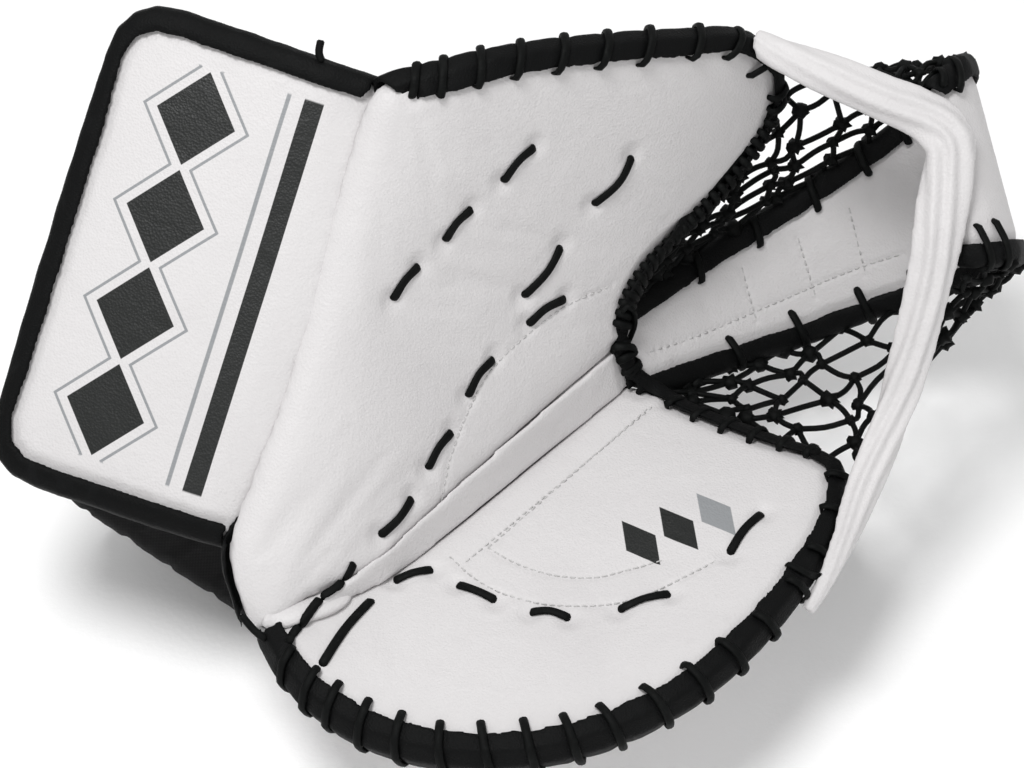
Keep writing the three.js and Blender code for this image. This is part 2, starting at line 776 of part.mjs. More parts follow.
function makeHood() {
  const shell = toSolid(hoodBody(0)).subtract(toSolid(hoodBody(HOOD_WALL)));
  return toGeometry(shell);
}

// Wrist pad: the quilted flap that the back of the wrist lies on
const WRIST_ROWS = [
  { p: 0, q: -18, corner: 8 },
  { p: 92, q: -18, corner: 8 },
  { p: 58, q: 96, corner: 18 },
  { p: -32, q: 96, corner: 12 },
];
const WRIST_ORIGIN = vec(-168, -75, -58);
const WRIST_ACROSS = vec(-60, 55.7, 28);
const WRIST_DISH = { middle: 30, curve: 0.0025 };
const wristFrame = makeFrame(WRIST_ORIGIN, breakLine, WRIST_ACROSS);
const wristPad = makePad({
  frame: wristFrame,
  rows: WRIST_ROWS,
  middle: [30, 40],
  front: (p) => WRIST_DISH.curve * (p - WRIST_DISH.middle) ** 2,
  thickness: 13,
  rim: 4.5,
  rings: [0.3, 0.65],
});

const palmBinding = fitted(bindings.palm, thumb.geometry, bindings.heel, bindings.thumb);
const thumbPanel = fitted(thumb.geometry, palm.geometry);
const thumbBinding = fitted(bindings.thumb, palm.geometry);
const heelBinding = fitted(bindings.heel, palm.geometry);
const panels = [thumb.geometry, palm.geometry, bindings.thumb, palmBinding];
const band = fitted(makeBand(), ...panels);
const breakStrip = fitted(makeBreakStrip(), ...panels);
const rootBinding = fitted(makeRootBinding(), makeBreakStrip(), ...panels, breakStrip);
const rootBlock = toGeometry(toSolid(makeRootBinding()).hull());
const roots = [...panels, band, breakStrip, rootBlock];
const stem = fitted(makeStem(), ...roots);
const stemBindingUpper = fitted(makeStemBinding(-1), ...roots);
const stemBindingLower = fitted(makeStemBinding(1), ...roots, stemBindingUpper);
const webPieces = [...roots, stem, stemBindingUpper, stemBindingLower];
const netUpper = makeNet(NETS.upper, ...webPieces);
const netLower = makeNet(NETS.lower, ...webPieces, netUpper);
const cuffPlate = fitted(cuff.geometry, thumbPanel, heelBinding, thumbBinding);
const cuffBinding = fitted(bindings.cuff, thumbPanel, heelBinding, thumbBinding);
const backPad = fitted(
  back.geometry,
  palm.geometry,
  palmBinding,
  bindings.heel,
  breakStrip,
  rootBinding,
  stem,
  stemBindingLower,
);
const hood = fitted(makeHood(), thumb.geometry, backPad, breakStrip, palm.geometry, cuffPlate);
const wrist = fitted(wristPad.geometry, backPad, hood, cuffBinding);

// Finishes
const WHITE_LEATHER = { color: 0xe4e2e1, roughness: 0.42, metalness: 0 };
const BLACK_BINDING = { color: 0x1b1b1c, roughness: 0.55, metalness: 0 };
const BLACK_FABRIC = { color: 0x17181a, roughness: 0.9, metalness: 0 };
const BLACK_CORD = { color: 0x121213, roughness: 0.7, metalness: 0 };

const PIECES = [
  { name: 'palm_panel', geometry: palm.geometry, finish: WHITE_LEATHER },
  { name: 'thumb_panel', geometry: thumbPanel, finish: WHITE_LEATHER },
  { name: 'break_strip', geometry: breakStrip, finish: WHITE_LEATHER },
  { name: 'cuff_plate', geometry: cuffPlate, finish: WHITE_LEATHER },
  { name: 'palm_binding', geometry: palmBinding, finish: BLACK_BINDING },
  { name: 'thumb_binding', geometry: thumbBinding, finish: BLACK_BINDING },
  { name: 'heel_binding', geometry: heelBinding, finish: BLACK_BINDING },
  { name: 'root_binding', geometry: rootBinding, finish: BLACK_BINDING },
  { name: 'cuff_binding', geometry: cuffBinding, finish: BLACK_BINDING },
  { name: 'web_stem', geometry: stem, finish: WHITE_LEATHER },
  { name: 'stem_binding_upper', geometry: stemBindingUpper, finish: BLACK_BINDING },
  { name: 'stem_binding_lower', geometry: stemBindingLower, finish: BLACK_BINDING },
  { name: 'web_band', geometry: band, finish: WHITE_LEATHER },
  { name: 'web_net_upper', geometry: netUpper, finish: BLACK_CORD },
  { name: 'web_net_lower', geometry: netLower, finish: BLACK_CORD },
  { name: 'back_pad', geometry: backPad, finish: WHITE_LEATHER },
  { name: 'thumb_hood', geometry: hood, finish: BLACK_FABRIC },
  { name: 'wrist_pad', geometry: wrist, finish: BLACK_FABRIC },
];

const glove = new THREE.Group();
for (const { name, geometry, finish } of PIECES) {
  const mesh = new THREE.Mesh(geometry, new THREE.MeshStandardMaterial(finish));
  mesh.name = name;
  glove.add(mesh);
}

// The glove stands on z = 0 with the middle of its plan over the origin.
const box = new THREE.Box3().setFromObject(glove);
const middle = box.getCenter(vec(0, 0, 0));
glove.position.set(-middle.x, -middle.y, -box.min.z);

export default glove;
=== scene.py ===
# A street hockey goalkeeper's catching glove for the left hand, lying open on its back.
# Lengths are metres, with +Z up and +X from the cuff towards the web.

import math
import random

import bpy
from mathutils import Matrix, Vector, geometry, kdtree, noise
from mathutils.bvhtree import BVHTree


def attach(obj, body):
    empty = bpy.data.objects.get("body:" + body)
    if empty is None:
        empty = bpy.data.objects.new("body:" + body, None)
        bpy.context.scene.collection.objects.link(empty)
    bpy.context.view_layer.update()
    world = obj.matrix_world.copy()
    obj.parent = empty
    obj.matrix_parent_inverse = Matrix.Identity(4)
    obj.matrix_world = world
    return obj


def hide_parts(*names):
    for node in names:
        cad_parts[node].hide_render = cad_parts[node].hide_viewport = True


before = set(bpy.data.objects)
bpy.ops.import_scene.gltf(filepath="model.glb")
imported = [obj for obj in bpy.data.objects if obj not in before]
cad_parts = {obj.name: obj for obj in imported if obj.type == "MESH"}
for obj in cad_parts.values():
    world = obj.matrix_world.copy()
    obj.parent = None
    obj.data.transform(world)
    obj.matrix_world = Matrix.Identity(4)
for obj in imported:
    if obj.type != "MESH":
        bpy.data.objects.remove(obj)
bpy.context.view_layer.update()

# The view: the glove is seen from in front and from well above the floor that it lies on, through
# a long lens. Laces and seams are placed by lines of sight through this view's picture.
PICTURE_WIDTH = 1024
PICTURE_HEIGHT = 768
METRES_PER_PIXEL = 0.00044
VIEW_DISTANCE = 1.3
VIEW_ELEVATION = math.radians(48)
VIEW_TARGET = Vector((-0.0039, 0.0486, 0.072))
SENSOR_WIDTH = 36
FOCAL_PIXELS = VIEW_DISTANCE / METRES_PER_PIXEL

back = Vector((0, -math.cos(VIEW_ELEVATION), math.sin(VIEW_ELEVATION)))
view_right = Vector((1, 0, 0))
view_up = back.cross(view_right)
eye = VIEW_TARGET + back * VIEW_DISTANCE

bpy.ops.object.select_all(action="DESELECT")
bpy.ops.object.camera_add(location=eye)
camera = bpy.context.object
camera.rotation_euler = back.to_track_quat("Z", "Y").to_euler()
camera.data.sensor_width = SENSOR_WIDTH
camera.data.lens = FOCAL_PIXELS * SENSOR_WIDTH / PICTURE_WIDTH
bpy.context.scene.camera = camera


def line_of_sight(px, py):
    across = (px - PICTURE_WIDTH / 2) / FOCAL_PIXELS
    upward = (PICTURE_HEIGHT / 2 - py) / FOCAL_PIXELS
    return (view_right * across + view_up * upward - back).normalized()


# The floor and the light: a plain pale floor, a soft light from above on the left, and two weak
# ones from the front and from behind, in an even pale room.
FLOOR_SIZE = 12
LIGHTS = [
    {"name": "overhead", "place": (-0.40, -0.30, 1.75), "size": 0.6, "power": 18.5},
    {"name": "front", "place": (0.3, -1.6, 0.7), "size": 1.2, "power": 3.5},
    {"name": "rear", "place": (0.5, 1.5, 1.3), "size": 1.2, "power": 2},
]
ROOM_BRIGHTNESS = 0.60

bpy.ops.mesh.primitive_plane_add(size=FLOOR_SIZE, location=(0, 0, -0.0004))
floor = bpy.context.object
floor.name = "floor"
for light in LIGHTS:
    bpy.ops.object.light_add(type="AREA", location=light["place"])
    lamp = bpy.context.object
    lamp.name = light["name"]
    lamp.data.shape = "DISK"
    lamp.data.size = light["size"]
    lamp.data.energy = light["power"]
    towards = VIEW_TARGET - Vector(light["place"])
    lamp.rotation_euler = towards.to_track_quat("-Z", "Y").to_euler()
room = bpy.data.worlds.new("room")
room.use_nodes = True
room.node_tree.nodes["Background"].inputs["Color"].default_value = (1, 1, 1, 1)
room.node_tree.nodes["Background"].inputs["Strength"].default_value = ROOM_BRIGHTNESS
bpy.context.scene.world = room
bpy.context.scene.view_settings.view_transform = "Standard"


class Field:
    """A value that changes over a surface. Sums and products of fields add Math nodes."""

    def __init__(self, finish, socket):
        self.finish = finish
        self.socket = socket

    def __add__(self, other):
        return self.finish.maths("ADD", self, other)

    __radd__ = __add__

    def __sub__(self, other):
        return self.finish.maths("SUBTRACT", self, other)

    def __rsub__(self, other):
        return self.finish.maths("SUBTRACT", other, self)

    def __mul__(self, other):
        return self.finish.maths("MULTIPLY", self, other)

    __rmul__ = __mul__

    def __truediv__(self, other):
        return self.finish.maths("DIVIDE", self, other)

    def __rtruediv__(self, other):
        return self.finish.maths("DIVIDE", other, self)

    def __abs__(self):
        return self.finish.maths("ABSOLUTE", self)


class Finish:
    """A material and the few kinds of node that the glove's surfaces are made with."""

    def __init__(self, name):
        self.material = bpy.data.materials.new(name)
        self.material.use_nodes = True
        self.tree = self.material.node_tree
        self.shader = self.tree.nodes["Principled BSDF"]
        place = self.node("ShaderNodeTexCoord")
        self.place = place.outputs["Object"]

    def node(self, kind, settings=None, sockets=None):
        made = self.tree.nodes.new(kind)
        for name, value in (settings or {}).items():
            if name == "stops":
                ramp = made.color_ramp
                while len(ramp.elements) < len(value):
                    ramp.elements.new(0.5)
                for element, (position, shade) in zip(ramp.elements, value):
                    element.position = position
                    element.color = shade
            else:
                setattr(made, name, value)
        for name, value in (sockets or {}).items():
            self.feed(made.inputs[name], value)
        return made

    def feed(self, socket, value):
        if isinstance(value, Field):
            value = value.socket
        if isinstance(value, bpy.types.NodeSocket):
            self.tree.links.new(value, socket)
        else:
            socket.default_value = value

    def maths(self, operation, *values, clamp=False):
        settings = {"operation": operation, "use_clamp": clamp}
        made = self.node("ShaderNodeMath", settings, dict(enumerate(values)))
        return Field(self, made.outputs[0])

    def step(self, value, low, high):
        """0 below low, 1 above high and smooth between."""
        made = self.node(
            "ShaderNodeMapRange",
            {"interpolation_type": "SMOOTHSTEP"},
            {"Value": value, "From Min": low, "From Max": high},
        )
        return Field(self, made.outputs[0])

    def along(self, direction, origin):
        """How far a point of the surface lies from origin along a direction."""
        reach = Vector(direction).dot(Vector(origin))
        made = self.node(
            "ShaderNodeVectorMath",
            {"operation": "DOT_PRODUCT"},
            {0: self.place, 1: tuple(direction)},
        )
        return Field(self, made.outputs["Value"]) - reach

    def noise(self, scale, detail=3, distortion=0, stretch=None):
        place = self.place
        if stretch:
            place = self.node("ShaderNodeMapping", None, {"Vector": place, "Scale": stretch}).outputs[0]
        made = self.node(
            "ShaderNodeTexNoise",
            None,
            {"Vector": place, "Scale": scale, "Detail": detail, "Distortion": distortion},
        )
        return Field(self, made.outputs["Fac"])

    def cells(self, scale):
        made = self.node("ShaderNodeTexVoronoi", None, {"Vector": self.place, "Scale": scale})
        return Field(self, made.outputs["Distance"])

    def blend(self, factor, first, second):
        made = self.node(
            "ShaderNodeMix", {"data_type": "RGBA"}, {0: factor, 6: first, 7: second}
        )
        return made.outputs[2]

    def surface(self, colour, roughness, height, depth, strength=1.0, **constants):
        """Feeds the shader; height from 0 to 1 is worth depth in metres."""
        bump = self.node(
            "ShaderNodeBump", None, {"Height": height, "Distance": depth, "Strength": strength}
        )
        self.feed(self.shader.inputs["Base Color"], colour)
        self.feed(self.shader.inputs["Roughness"], roughness)
        self.feed(self.shader.inputs["Normal"], bump.outputs[0])
        for name, value in constants.items():
            self.shader.inputs[name.replace("_", " ")].default_value = value
        return self.material


def floor_finish():
    finish = Finish("floor")
    tone = finish.noise(3)
    colour = finish.blend(tone, (0.96, 0.96, 0.96, 1), (0.98, 0.98, 0.98, 1))
    return finish.surface(colour, 0.85, finish.noise(400), 0.0001)


floor.data.materials.append(floor_finish())


# The palm: a D-shaped pad of foam in a cover of white coated leather with a fine pebbled grain.
# The cover is sewn and laced through the foam, so it swells a little between seams and holes.
WHITE = (0.630, 0.615, 0.617, 1)
SHADED_WHITE = (0.565, 0.549, 0.553, 1)
SCUFF = (0.480, 0.468, 0.470, 1)
PRINT_BLACK = (0.006, 0.0072, 0.0066, 1)
PRINT_GREY = (0.26, 0.27, 0.28, 1)
PALM_SWELL = 0.0035
PALM_VOXEL = 0.0028
STUFFING_FRAMES = 20
STUFFING_PRESSURE = 4
SEAM_REACH = (0.0015, 0.006)  # held fully, and no longer held
HOLE_REACH = (0.002, 0.008)
SMOOTHING_PASSES = 6


def white_leather(name, print_mask=None):
    finish = Finish(name)
    grain = finish.cells(950)
    pores = finish.noise(2600, 1)
    creases = finish.noise(38, 3, 1.4)
    stains = finish.step(finish.noise(14, 3, 0.6), 0.42, 0.80)
    scuffs = finish.step(finish.noise(75, 4, 2.5), 0.64, 0.84)
    colour = finish.blend(stains * 0.55, WHITE, SHADED_WHITE)
    colour = finish.blend(scuffs * 0.16, colour, SCUFF)
    rough = 0.36 + 0.16 * creases + 0.10 * pores
    if print_mask:
        for mask, tint in print_mask(finish):
            worn = mask * (1 - 0.05 * scuffs)
            colour = finish.blend(worn, colour, tint)
    wrinkles = abs(finish.noise(26, 2, 1.8) - 0.5)
    height = 0.30 * grain + 0.10 * pores + 0.8 * creases + 1.1 * wrinkles
    return finish.surface(colour, rough, height, 0.0009, 0.6, IOR=1.45)


def select_only(piece):
    bpy.ops.object.select_all(action="DESELECT")
    piece.select_set(True)
    bpy.context.view_layer.objects.active = piece


def finish_modifier(piece, modifier):
    select_only(piece)
    bpy.ops.object.modifier_apply(modifier=modifier.name)


def copy_of(node, name):
    """A separate copy of a CAD solid's mesh with its loose triangles joined."""
    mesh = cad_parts[node].data.copy()
    piece = bpy.data.objects.new(name, mesh)
    bpy.context.scene.collection.objects.link(piece)
    mesh.materials.clear()
    select_only(piece)
    bpy.ops.object.mode_set(mode="EDIT")
    bpy.ops.mesh.select_all(action="SELECT")
    bpy.ops.mesh.remove_doubles(threshold=0.00001)
    bpy.ops.object.mode_set(mode="OBJECT")
    return piece


def even_skin(piece, voxel, passes):
    """Covers the piece with an even mesh and takes the facets off."""
    remesh = piece.modifiers.new("even", "REMESH")
    remesh.mode = "VOXEL"
    remesh.voxel_size = voxel
    finish_modifier(piece, remesh)
    ease = piece.modifiers.new("ease", "SMOOTH")
    ease.factor = 0.5
    ease.iterations = passes
    finish_modifier(piece, ease)


def subdivide(piece, levels=1):
    finer = piece.modifiers.new("finer", "SUBSURF")
    finer.levels = levels
    finer.render_levels = levels
    finish_modifier(piece, finer)
    piece.data.shade_smooth()


def stuff(piece, held, pressure, swell):
    """Blows the cover up by cloth simulation; held gives how firmly each vertex is sewn down."""
    group = piece.vertex_groups.new(name="held")
    for index, weight in enumerate(held):
        if weight > 0:
            group.add([index], weight, "REPLACE")
    start = [vertex.co.copy() for vertex in piece.data.vertices]
    cloth = piece.modifiers.new("stuffing", "CLOTH")
    cloth.settings.quality = 4
    cloth.settings.mass = 0.3
    cloth.settings.use_pressure = True
    cloth.settings.uniform_pressure_force = pressure
    cloth.settings.effector_weights.gravity = 0
    cloth.settings.vertex_group_mass = group.name
    cloth.collision_settings.use_collision = False
    cloth.point_cache.frame_start = 1
    cloth.point_cache.frame_end = STUFFING_FRAMES
    for number in range(1, STUFFING_FRAMES + 1):
        bpy.context.scene.frame_set(number)
    finish_modifier(piece, cloth)
    bpy.context.scene.frame_set(1)
    for vertex, origin in zip(piece.data.vertices, start):
        moved = vertex.co - origin
        if moved.length > swell:
            vertex.co = origin + moved * (swell / moved.length)
    piece.vertex_groups.clear()


class Skin:
    """The outer surface of some pieces, which lines of sight and nearest points are found on."""

    def __init__(self, *pieces):
        points = []
        faces = []
        for piece in pieces:
            first = len(points)
            points += [vertex.co.copy() for vertex in piece.data.vertices]
            faces += [[first + k for k in polygon.vertices] for polygon in piece.data.polygons]
        self.tree = BVHTree.FromPolygons(points, faces)

    def cast(self, start, direction, reach=10):
        point, normal, _, _ = self.tree.ray_cast(start, direction, reach)
        if point is None:
            return None
        if normal.dot(direction) > 0:
            normal = -normal
        return point, normal

    def seen(self, px, py):
        return self.cast(eye, line_of_sight(px, py))

    def near(self, point):
        place, normal, _, _ = self.tree.find_nearest(point)
        return place, normal


def bezier_arc(start, start_handle, end_handle, end, count):
    points = []
    for k in range(count):
        t = k / (count - 1)
        s = 1 - t
        points.append(
            s**3 * start
            + 3 * s * s * t * start_handle
            + 3 * s * t * t * end_handle
            + t**3 * end
        )
    return points


def smooth_route(points, step=None, count=None):
    """Points at even steps along a smooth curve through the given ones."""
    points = [Vector(point) for point in points]
    if len(points) == 2:
        dense = [points[0].lerp(points[1], k / 16) for k in range(17)]
    else:
        ends = [2 * points[0] - points[1], *points, 2 * points[-1] - points[-2]]
        dense = [points[0]]
        for a, b, c, d in zip(ends, ends[1:], ends[2:], ends[3:]):
            knot_in = b + (c - a) / 6
            knot_out = c - (d - b) / 6
            dense += bezier_arc(b, knot_in, knot_out, c, 12)[1:]
    total = sum((b - a).length for a, b in zip(dense, dense[1:]))
    return even_steps(dense, count or max(1, round(total / step)))


def even_steps(dense, count):
    """Count + 1 points at equal steps along a chain of straight pieces."""
    lengths = [0.0]
    for a, b in zip(dense, dense[1:]):
        lengths.append(lengths[-1] + (b - a).length)
    route = []
    k = 0
    for i in range(count + 1):
        target = lengths[-1] * i / count
        while k + 2 < len(lengths) and lengths[k + 1] < target:
            k += 1
        span = lengths[k + 1] - lengths[k]
        share = (target - lengths[k]) / span if span else 0
        route.append(dense[k].lerp(dense[k + 1], min(max(share, 0), 1)))
    return route


def trail(skin, pixels, step):
    """Where a line that is drawn through pixels of the picture lies on the skin."""
    route = smooth_route([(px, py, 0) for px, py in pixels], step / METRES_PER_PIXEL)
    hits = [skin.seen(point.x, point.y) for point in route]
    return [hit for hit in hits if hit]


def tree_of(points):
    tree = kdtree.KDTree(len(points))
    for index, point in enumerate(points):
        tree.insert(point, index)
    tree.balance()
    return tree


def nearness(piece, points, inner, outer):
    """For each vertex 1 within inner of the points, falling to 0 at outer."""
    tree = tree_of(points)
    shares = []
    for vertex in piece.data.vertices:
        _, _, gap = tree.find(vertex.co)
        share = min(max((outer - gap) / (outer - inner), 0), 1)
        shares.append(share * share * (3 - 2 * share))
    return shares


def press(piece, points, radius, depth):
    """Pushes the surface in along its own normals near the points."""
    shares = nearness(piece, points, 0, radius)
    normals = [vertex.normal.copy() for vertex in piece.data.vertices]
    for vertex, normal, share in zip(piece.data.vertices, normals, shares):
        vertex.co -= normal * (depth * share)


def taped(piece, binding, reach):
    """For each vertex 1 where it lies under the binding, so that it is held there."""
    tape = Skin(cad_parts[binding])
    shares = []
    for vertex in piece.data.vertices:
        place, _ = tape.near(vertex.co)
        shares.append(1.0 if (place - vertex.co).length < reach else 0.0)
    return shares


def stronger(*weights):
    return [max(column) for column in zip(*weights)]


STEM_SEAMS = [
    [(650, 352), (700, 335), (780, 301), (850, 271), (902, 254)],
    [(742, 268), (749, 295), (757, 322)],
    [(798, 238), (807, 268), (816, 298)],
    [(849, 208), (857, 240), (866, 275)],
]
PALM_SEAMS = [
    [(488, 548), (515, 563), (551, 575), (593, 578), (629, 570), (664, 560)],
    [(450, 557), (470, 575), (494, 590), (527, 601), (563, 606), (614, 604), (658, 590), (718, 560)],
    [(488, 548), (650, 407)],
    [(466, 562), (655, 405)],
]
PALM_LACES = [
    [(433, 570), (413, 574), (394, 582)],
    [(457, 585), (477, 592), (496, 601)],
    [(530, 613), (550, 612), (570, 619)],
    [(618, 611), (644, 600), (671, 594)],
    [(729, 555), (744, 531), (763, 513)],
]
THUMB_SEAMS = [
    [(438, 518), (610, 352)],
    [(449, 461), (470, 407), (500, 360), (560, 310), (612, 285)],
    [(438, 518), (449, 461)],
]
THUMB_LACES = [
    [(535, 146), (518, 160), (502, 182)],
    [(472, 208), (456, 222), (444, 241)],
    [(419, 265), (404, 280), (392, 300)],
    [(632, 155), (618, 182), (592, 205)],
    [(561, 245), (546, 272), (522, 297)],
    [(566, 298), (545, 308), (527, 325)],
    [(494, 358), (478, 374), (467, 397)],
    [(452, 431), (438, 447), (427, 469)],
    [(412, 497), (398, 518), (379, 536)],
]
HEEL_LACES = [
    [(354, 562), (340, 585), (321, 598)],
    [(321, 598), (304, 620), (287, 644)],
    [(374, 598), (345, 630), (320, 668)],
]


def line_points(skin, lines, step=0.003):
    return [point for line in lines for point, _ in trail(skin, line, step)]


def padded_cover(node, name, voxel, seams, laces, bindings, swell, material):
    """The cover of a padded panel, sewn along its seams and pulled in where laces go through."""
    piece = copy_of(node, name)
    even_skin(piece, voxel, SMOOTHING_PASSES)
    skin = Skin(piece)
    seam_points = line_points(skin, seams)
    holes = [skin.seen(*line[k])[0] for line in laces for k in (0, -1) if skin.seen(*line[k])]
    held = [taped(piece, binding, 0.002) for binding in bindings]
    if seam_points:
        held.append(nearness(piece, seam_points, *SEAM_REACH))
    if holes:
        held.append(nearness(piece, holes, *HOLE_REACH))
    stuff(piece, stronger(*held), STUFFING_PRESSURE, swell)
    subdivide(piece)
    if seam_points:
        press(piece, seam_points, 0.0022, 0.0006)
    if holes:
        press(piece, holes, 0.0075, 0.0016)
    piece.data.materials.append(material)
    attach(piece, "root")
    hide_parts(node)
    return piece


def palm_print(finish):
    """A row of plain lozenges, two black and one grey."""
    along = Vector((0.85, 0.53, 0))
    across = Vector((-0.53, 0.85, 0))
    size = 0.0075
    masks = []
    for place, tint in (
        ((0.050, -0.044, 0), PRINT_BLACK),
        ((0.066, -0.037, 0), PRINT_BLACK),
        ((0.082, -0.030, 0), PRINT_GREY),
    ):
        reach = abs(finish.along(along, place)) / size + abs(finish.along(across, place)) / (2 * size)
        masks.append((1 - finish.step(reach, 0.95, 1.0), tint))
    above = finish.along((0, 0, 1), (0, 0, 0.066))
    return [(mask * finish.step(above, 0, 0.001), tint) for mask, tint in masks]


palm_cover = padded_cover(
    "palm_panel",
    "palm_cover",
    PALM_VOXEL,
    PALM_SEAMS,
    PALM_LACES,
    ["palm_binding", "break_strip"],
    PALM_SWELL,
    white_leather("palm_leather", palm_print),
)

# The thumb: a four-sided pad of the same foam and leather, with its own seams round the root of
# the thumb. The laces run down it in three rows and tie its cover to the hood behind.
THUMB_SWELL = 0.0035
THUMB_VOXEL = 0.0028

plain_leather = white_leather("plain_leather")
thumb_cover = padded_cover(
    "thumb_panel",
    "thumb_cover",
    THUMB_VOXEL,
    THUMB_SEAMS,
    THUMB_LACES,
    ["thumb_binding", "heel_binding", "break_strip"],
    THUMB_SWELL,
    plain_leather,
)

# The break strip: a narrow gusset of the same leather that is folded into the break between
# thumb and palm and stitched to both.
break_gusset = copy_of("break_strip", "break_gusset")
even_skin(break_gusset, 0.0014, 8)
break_gusset.data.shade_smooth()
break_gusset.data.materials.append(plain_leather)
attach(break_gusset, "root")
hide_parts("break_strip")

# The cuff: a stiff foam plate in white leather over the wrist, bound round three sides. Its face
# is printed with a row of tall black lozenges between thin zigzag lines.
CUFF_CORNER = (-0.114, -0.069, 0.097)
CUFF_ALONG = (0.306, 0.647, 0.699)
CUFF_ACROSS = Vector((-0.933, 0.350, 0.085))
CUFF_OUT = Vector((-0.190, -0.678, 0.710))
CUFF_LENGTH = 0.203
CUFF_DEPTH = 0.118
LOZENGE_COUNT = 4
CUFF_VOXEL = 0.0024
CUFF_SWELL = 0.002


def cuff_print(finish):
    length = finish.along(CUFF_ALONG, CUFF_CORNER) / CUFF_LENGTH
    depth = finish.along(CUFF_ACROSS, CUFF_CORNER) / CUFF_DEPTH
    inside = finish.step(length, 0.085, 0.09) * (1 - finish.step(length, 0.91, 0.915))
    turn = finish.maths("FRACT", (length - 0.09) / (0.82 / LOZENGE_COUNT))
    sway = abs(turn - 0.5) * 2
    off = abs(depth - 0.62) / 0.155
    lozenges = 1 - finish.step(off + sway, 0.94, 0.96)
    zigzag = abs(off + sway - 1.25)
    lines = 1 - finish.step(zigzag, 0.035, 0.05)
    bar = abs(depth - 0.24) / 0.035
    bars = 1 - finish.step(bar, 0.95, 1.0)
    thin = 1 - finish.step(abs(depth - 0.33), 0.006, 0.009)
    return [
        (lozenges * inside, PRINT_BLACK),
        (lines * inside, PRINT_GREY),
        (bars * inside, PRINT_BLACK),
        (thin * inside, PRINT_GREY),
    ]


cuff_cover = padded_cover(
    "cuff_plate",
    "cuff_cover",
    CUFF_VOXEL,
    [],
    [],
    ["cuff_binding", "thumb_panel", "thumb_binding"],
    CUFF_SWELL,
    white_leather("cuff_leather", cuff_print),
)
cuff_cover.data.materials.append(plain_leather)
for polygon in cuff_cover.data.polygons:
    if polygon.normal.dot(CUFF_OUT) < 0:
        polygon.material_index = 1

# The web's stem: a strip of leather over a stiff core that runs from the break under the pocket
# and up behind the band. A line of stitches runs down it beside the lower tape, and three short lines
# cross it.
STEM_VOXEL = 0.0024
STEM_SWELL = 0.0012

stem_cover = padded_cover(
    "web_stem",
    "stem_cover",
    STEM_VOXEL,
    STEM_SEAMS,
    [],
    ["stem_binding_upper", "stem_binding_lower"],
    STEM_SWELL,
    plain_leather,
)

# The web band: a roll of soft white leather round the mouth of the pocket, gathered into long
# folds that run along it and fade out towards its ends.
BAND_ROUTE = [
    (0.098, 0.123, 0.207),
    (0.109, 0.117, 0.204),
    (0.136, 0.106, 0.199),
    (0.155, 0.098, 0.195),
    (0.172, 0.091, 0.191),
    (0.180, 0.082, 0.186),
    (0.179, 0.071, 0.177),
    (0.176, 0.058, 0.167),
    (0.173, 0.044, 0.156),
    (0.168, 0.029, 0.135),
    (0.160, 0.009, 0.108),
    (0.146, -0.019, 0.087),
    (0.135, -0.045, 0.080),
    (0.124, -0.068, 0.075),
    (0.118, -0.077, 0.071),
]
FOLD_DEPTH = 0.0021
FOLDS_ROUND = 6
FOLD_TWIST = 0.7
BAND_VOXEL = 0.0016
BAND_PRESSURE = 2
BAND_SWELL = 0.0006


def gather_folds(piece, route):
    tree = tree_of(route)
    normals = [vertex.normal.copy() for vertex in piece.data.vertices]
    for vertex, normal in zip(piece.data.vertices, normals):
        nearest, index, _ = tree.find(vertex.co)
        before = route[max(index - 1, 0)]
        after = route[min(index + 1, len(route) - 1)]
        tangent = (after - before).normalized()
        wide = tangent.cross(back).normalized()
        thin = wide.cross(tangent)
        spoke = vertex.co - nearest
        angle = math.atan2(spoke.dot(thin), spoke.dot(wide))
        share = index / (len(route) - 1)
        fade = math.sin(math.pi * min(max(share, 0.02), 0.98)) ** 0.6
        drift = FOLD_TWIST * math.sin(3.1 * share * math.pi) + 0.35 * noise.noise(vertex.co * 14)
        fold = math.sin(FOLDS_ROUND * (angle + drift) * 0.5 + 1.3) ** 2
        fine = noise.noise(vertex.co * 90) * 0.12
        vertex.co -= normal * (FOLD_DEPTH * fade * (fold + fine))


band_roll = copy_of("web_band", "band_roll")
even_skin(band_roll, BAND_VOXEL, 8)
gather_folds(band_roll, smooth_route(BAND_ROUTE, 0.002))
stuff(band_roll, taped(band_roll, "palm_binding", 0.002), BAND_PRESSURE, BAND_SWELL)
subdivide(band_roll)
band_roll.data.materials.append(plain_leather)
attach(band_roll, "root")
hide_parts("web_band")

# The bindings: black coated tape folded over the raw edges of the panels and sewn through. The
# whip lacing pulls it in at each turn, so it swells a little between the turns.
TAPE_BLACK = (0.0026, 0.0028, 0.0029, 1)
TAPE_WORN = (0.010, 0.0105, 0.011, 1)
TAPE_VOXEL = 0.0013
TAPE_GRIP = 0.0045  # how far from the tape the leather is still drawn in
TAPE_SQUEEZE = 0.0010
CORNER_REACH = 0.008
CORNER_DEPTH = 0.0035
FOLD_REACH = 0.014  # how far from the thumb the cuff's edge bends down and under it
FOLD_SHIFT = CUFF_ACROSS * 0.0035 + CUFF_OUT * 0.0022


def tape_finish():
    finish = Finish("binding_tape")
    grain = finish.cells(1300)
    rubbed = finish.step(finish.noise(60, 5, 1.2), 0.56, 0.78)
    colour = finish.blend(rubbed * 0.5, TAPE_BLACK, TAPE_WORN)
    rough = 0.50 + 0.18 * finish.noise(45, 3) + 0.10 * rubbed
    height = 0.5 * grain + 0.8 * finish.noise(90, 4, 1.0)
    finish.shader.inputs["Specular IOR Level"].default_value = 0.10
    return finish.surface(colour, rough, height, 0.0006, 0.6)


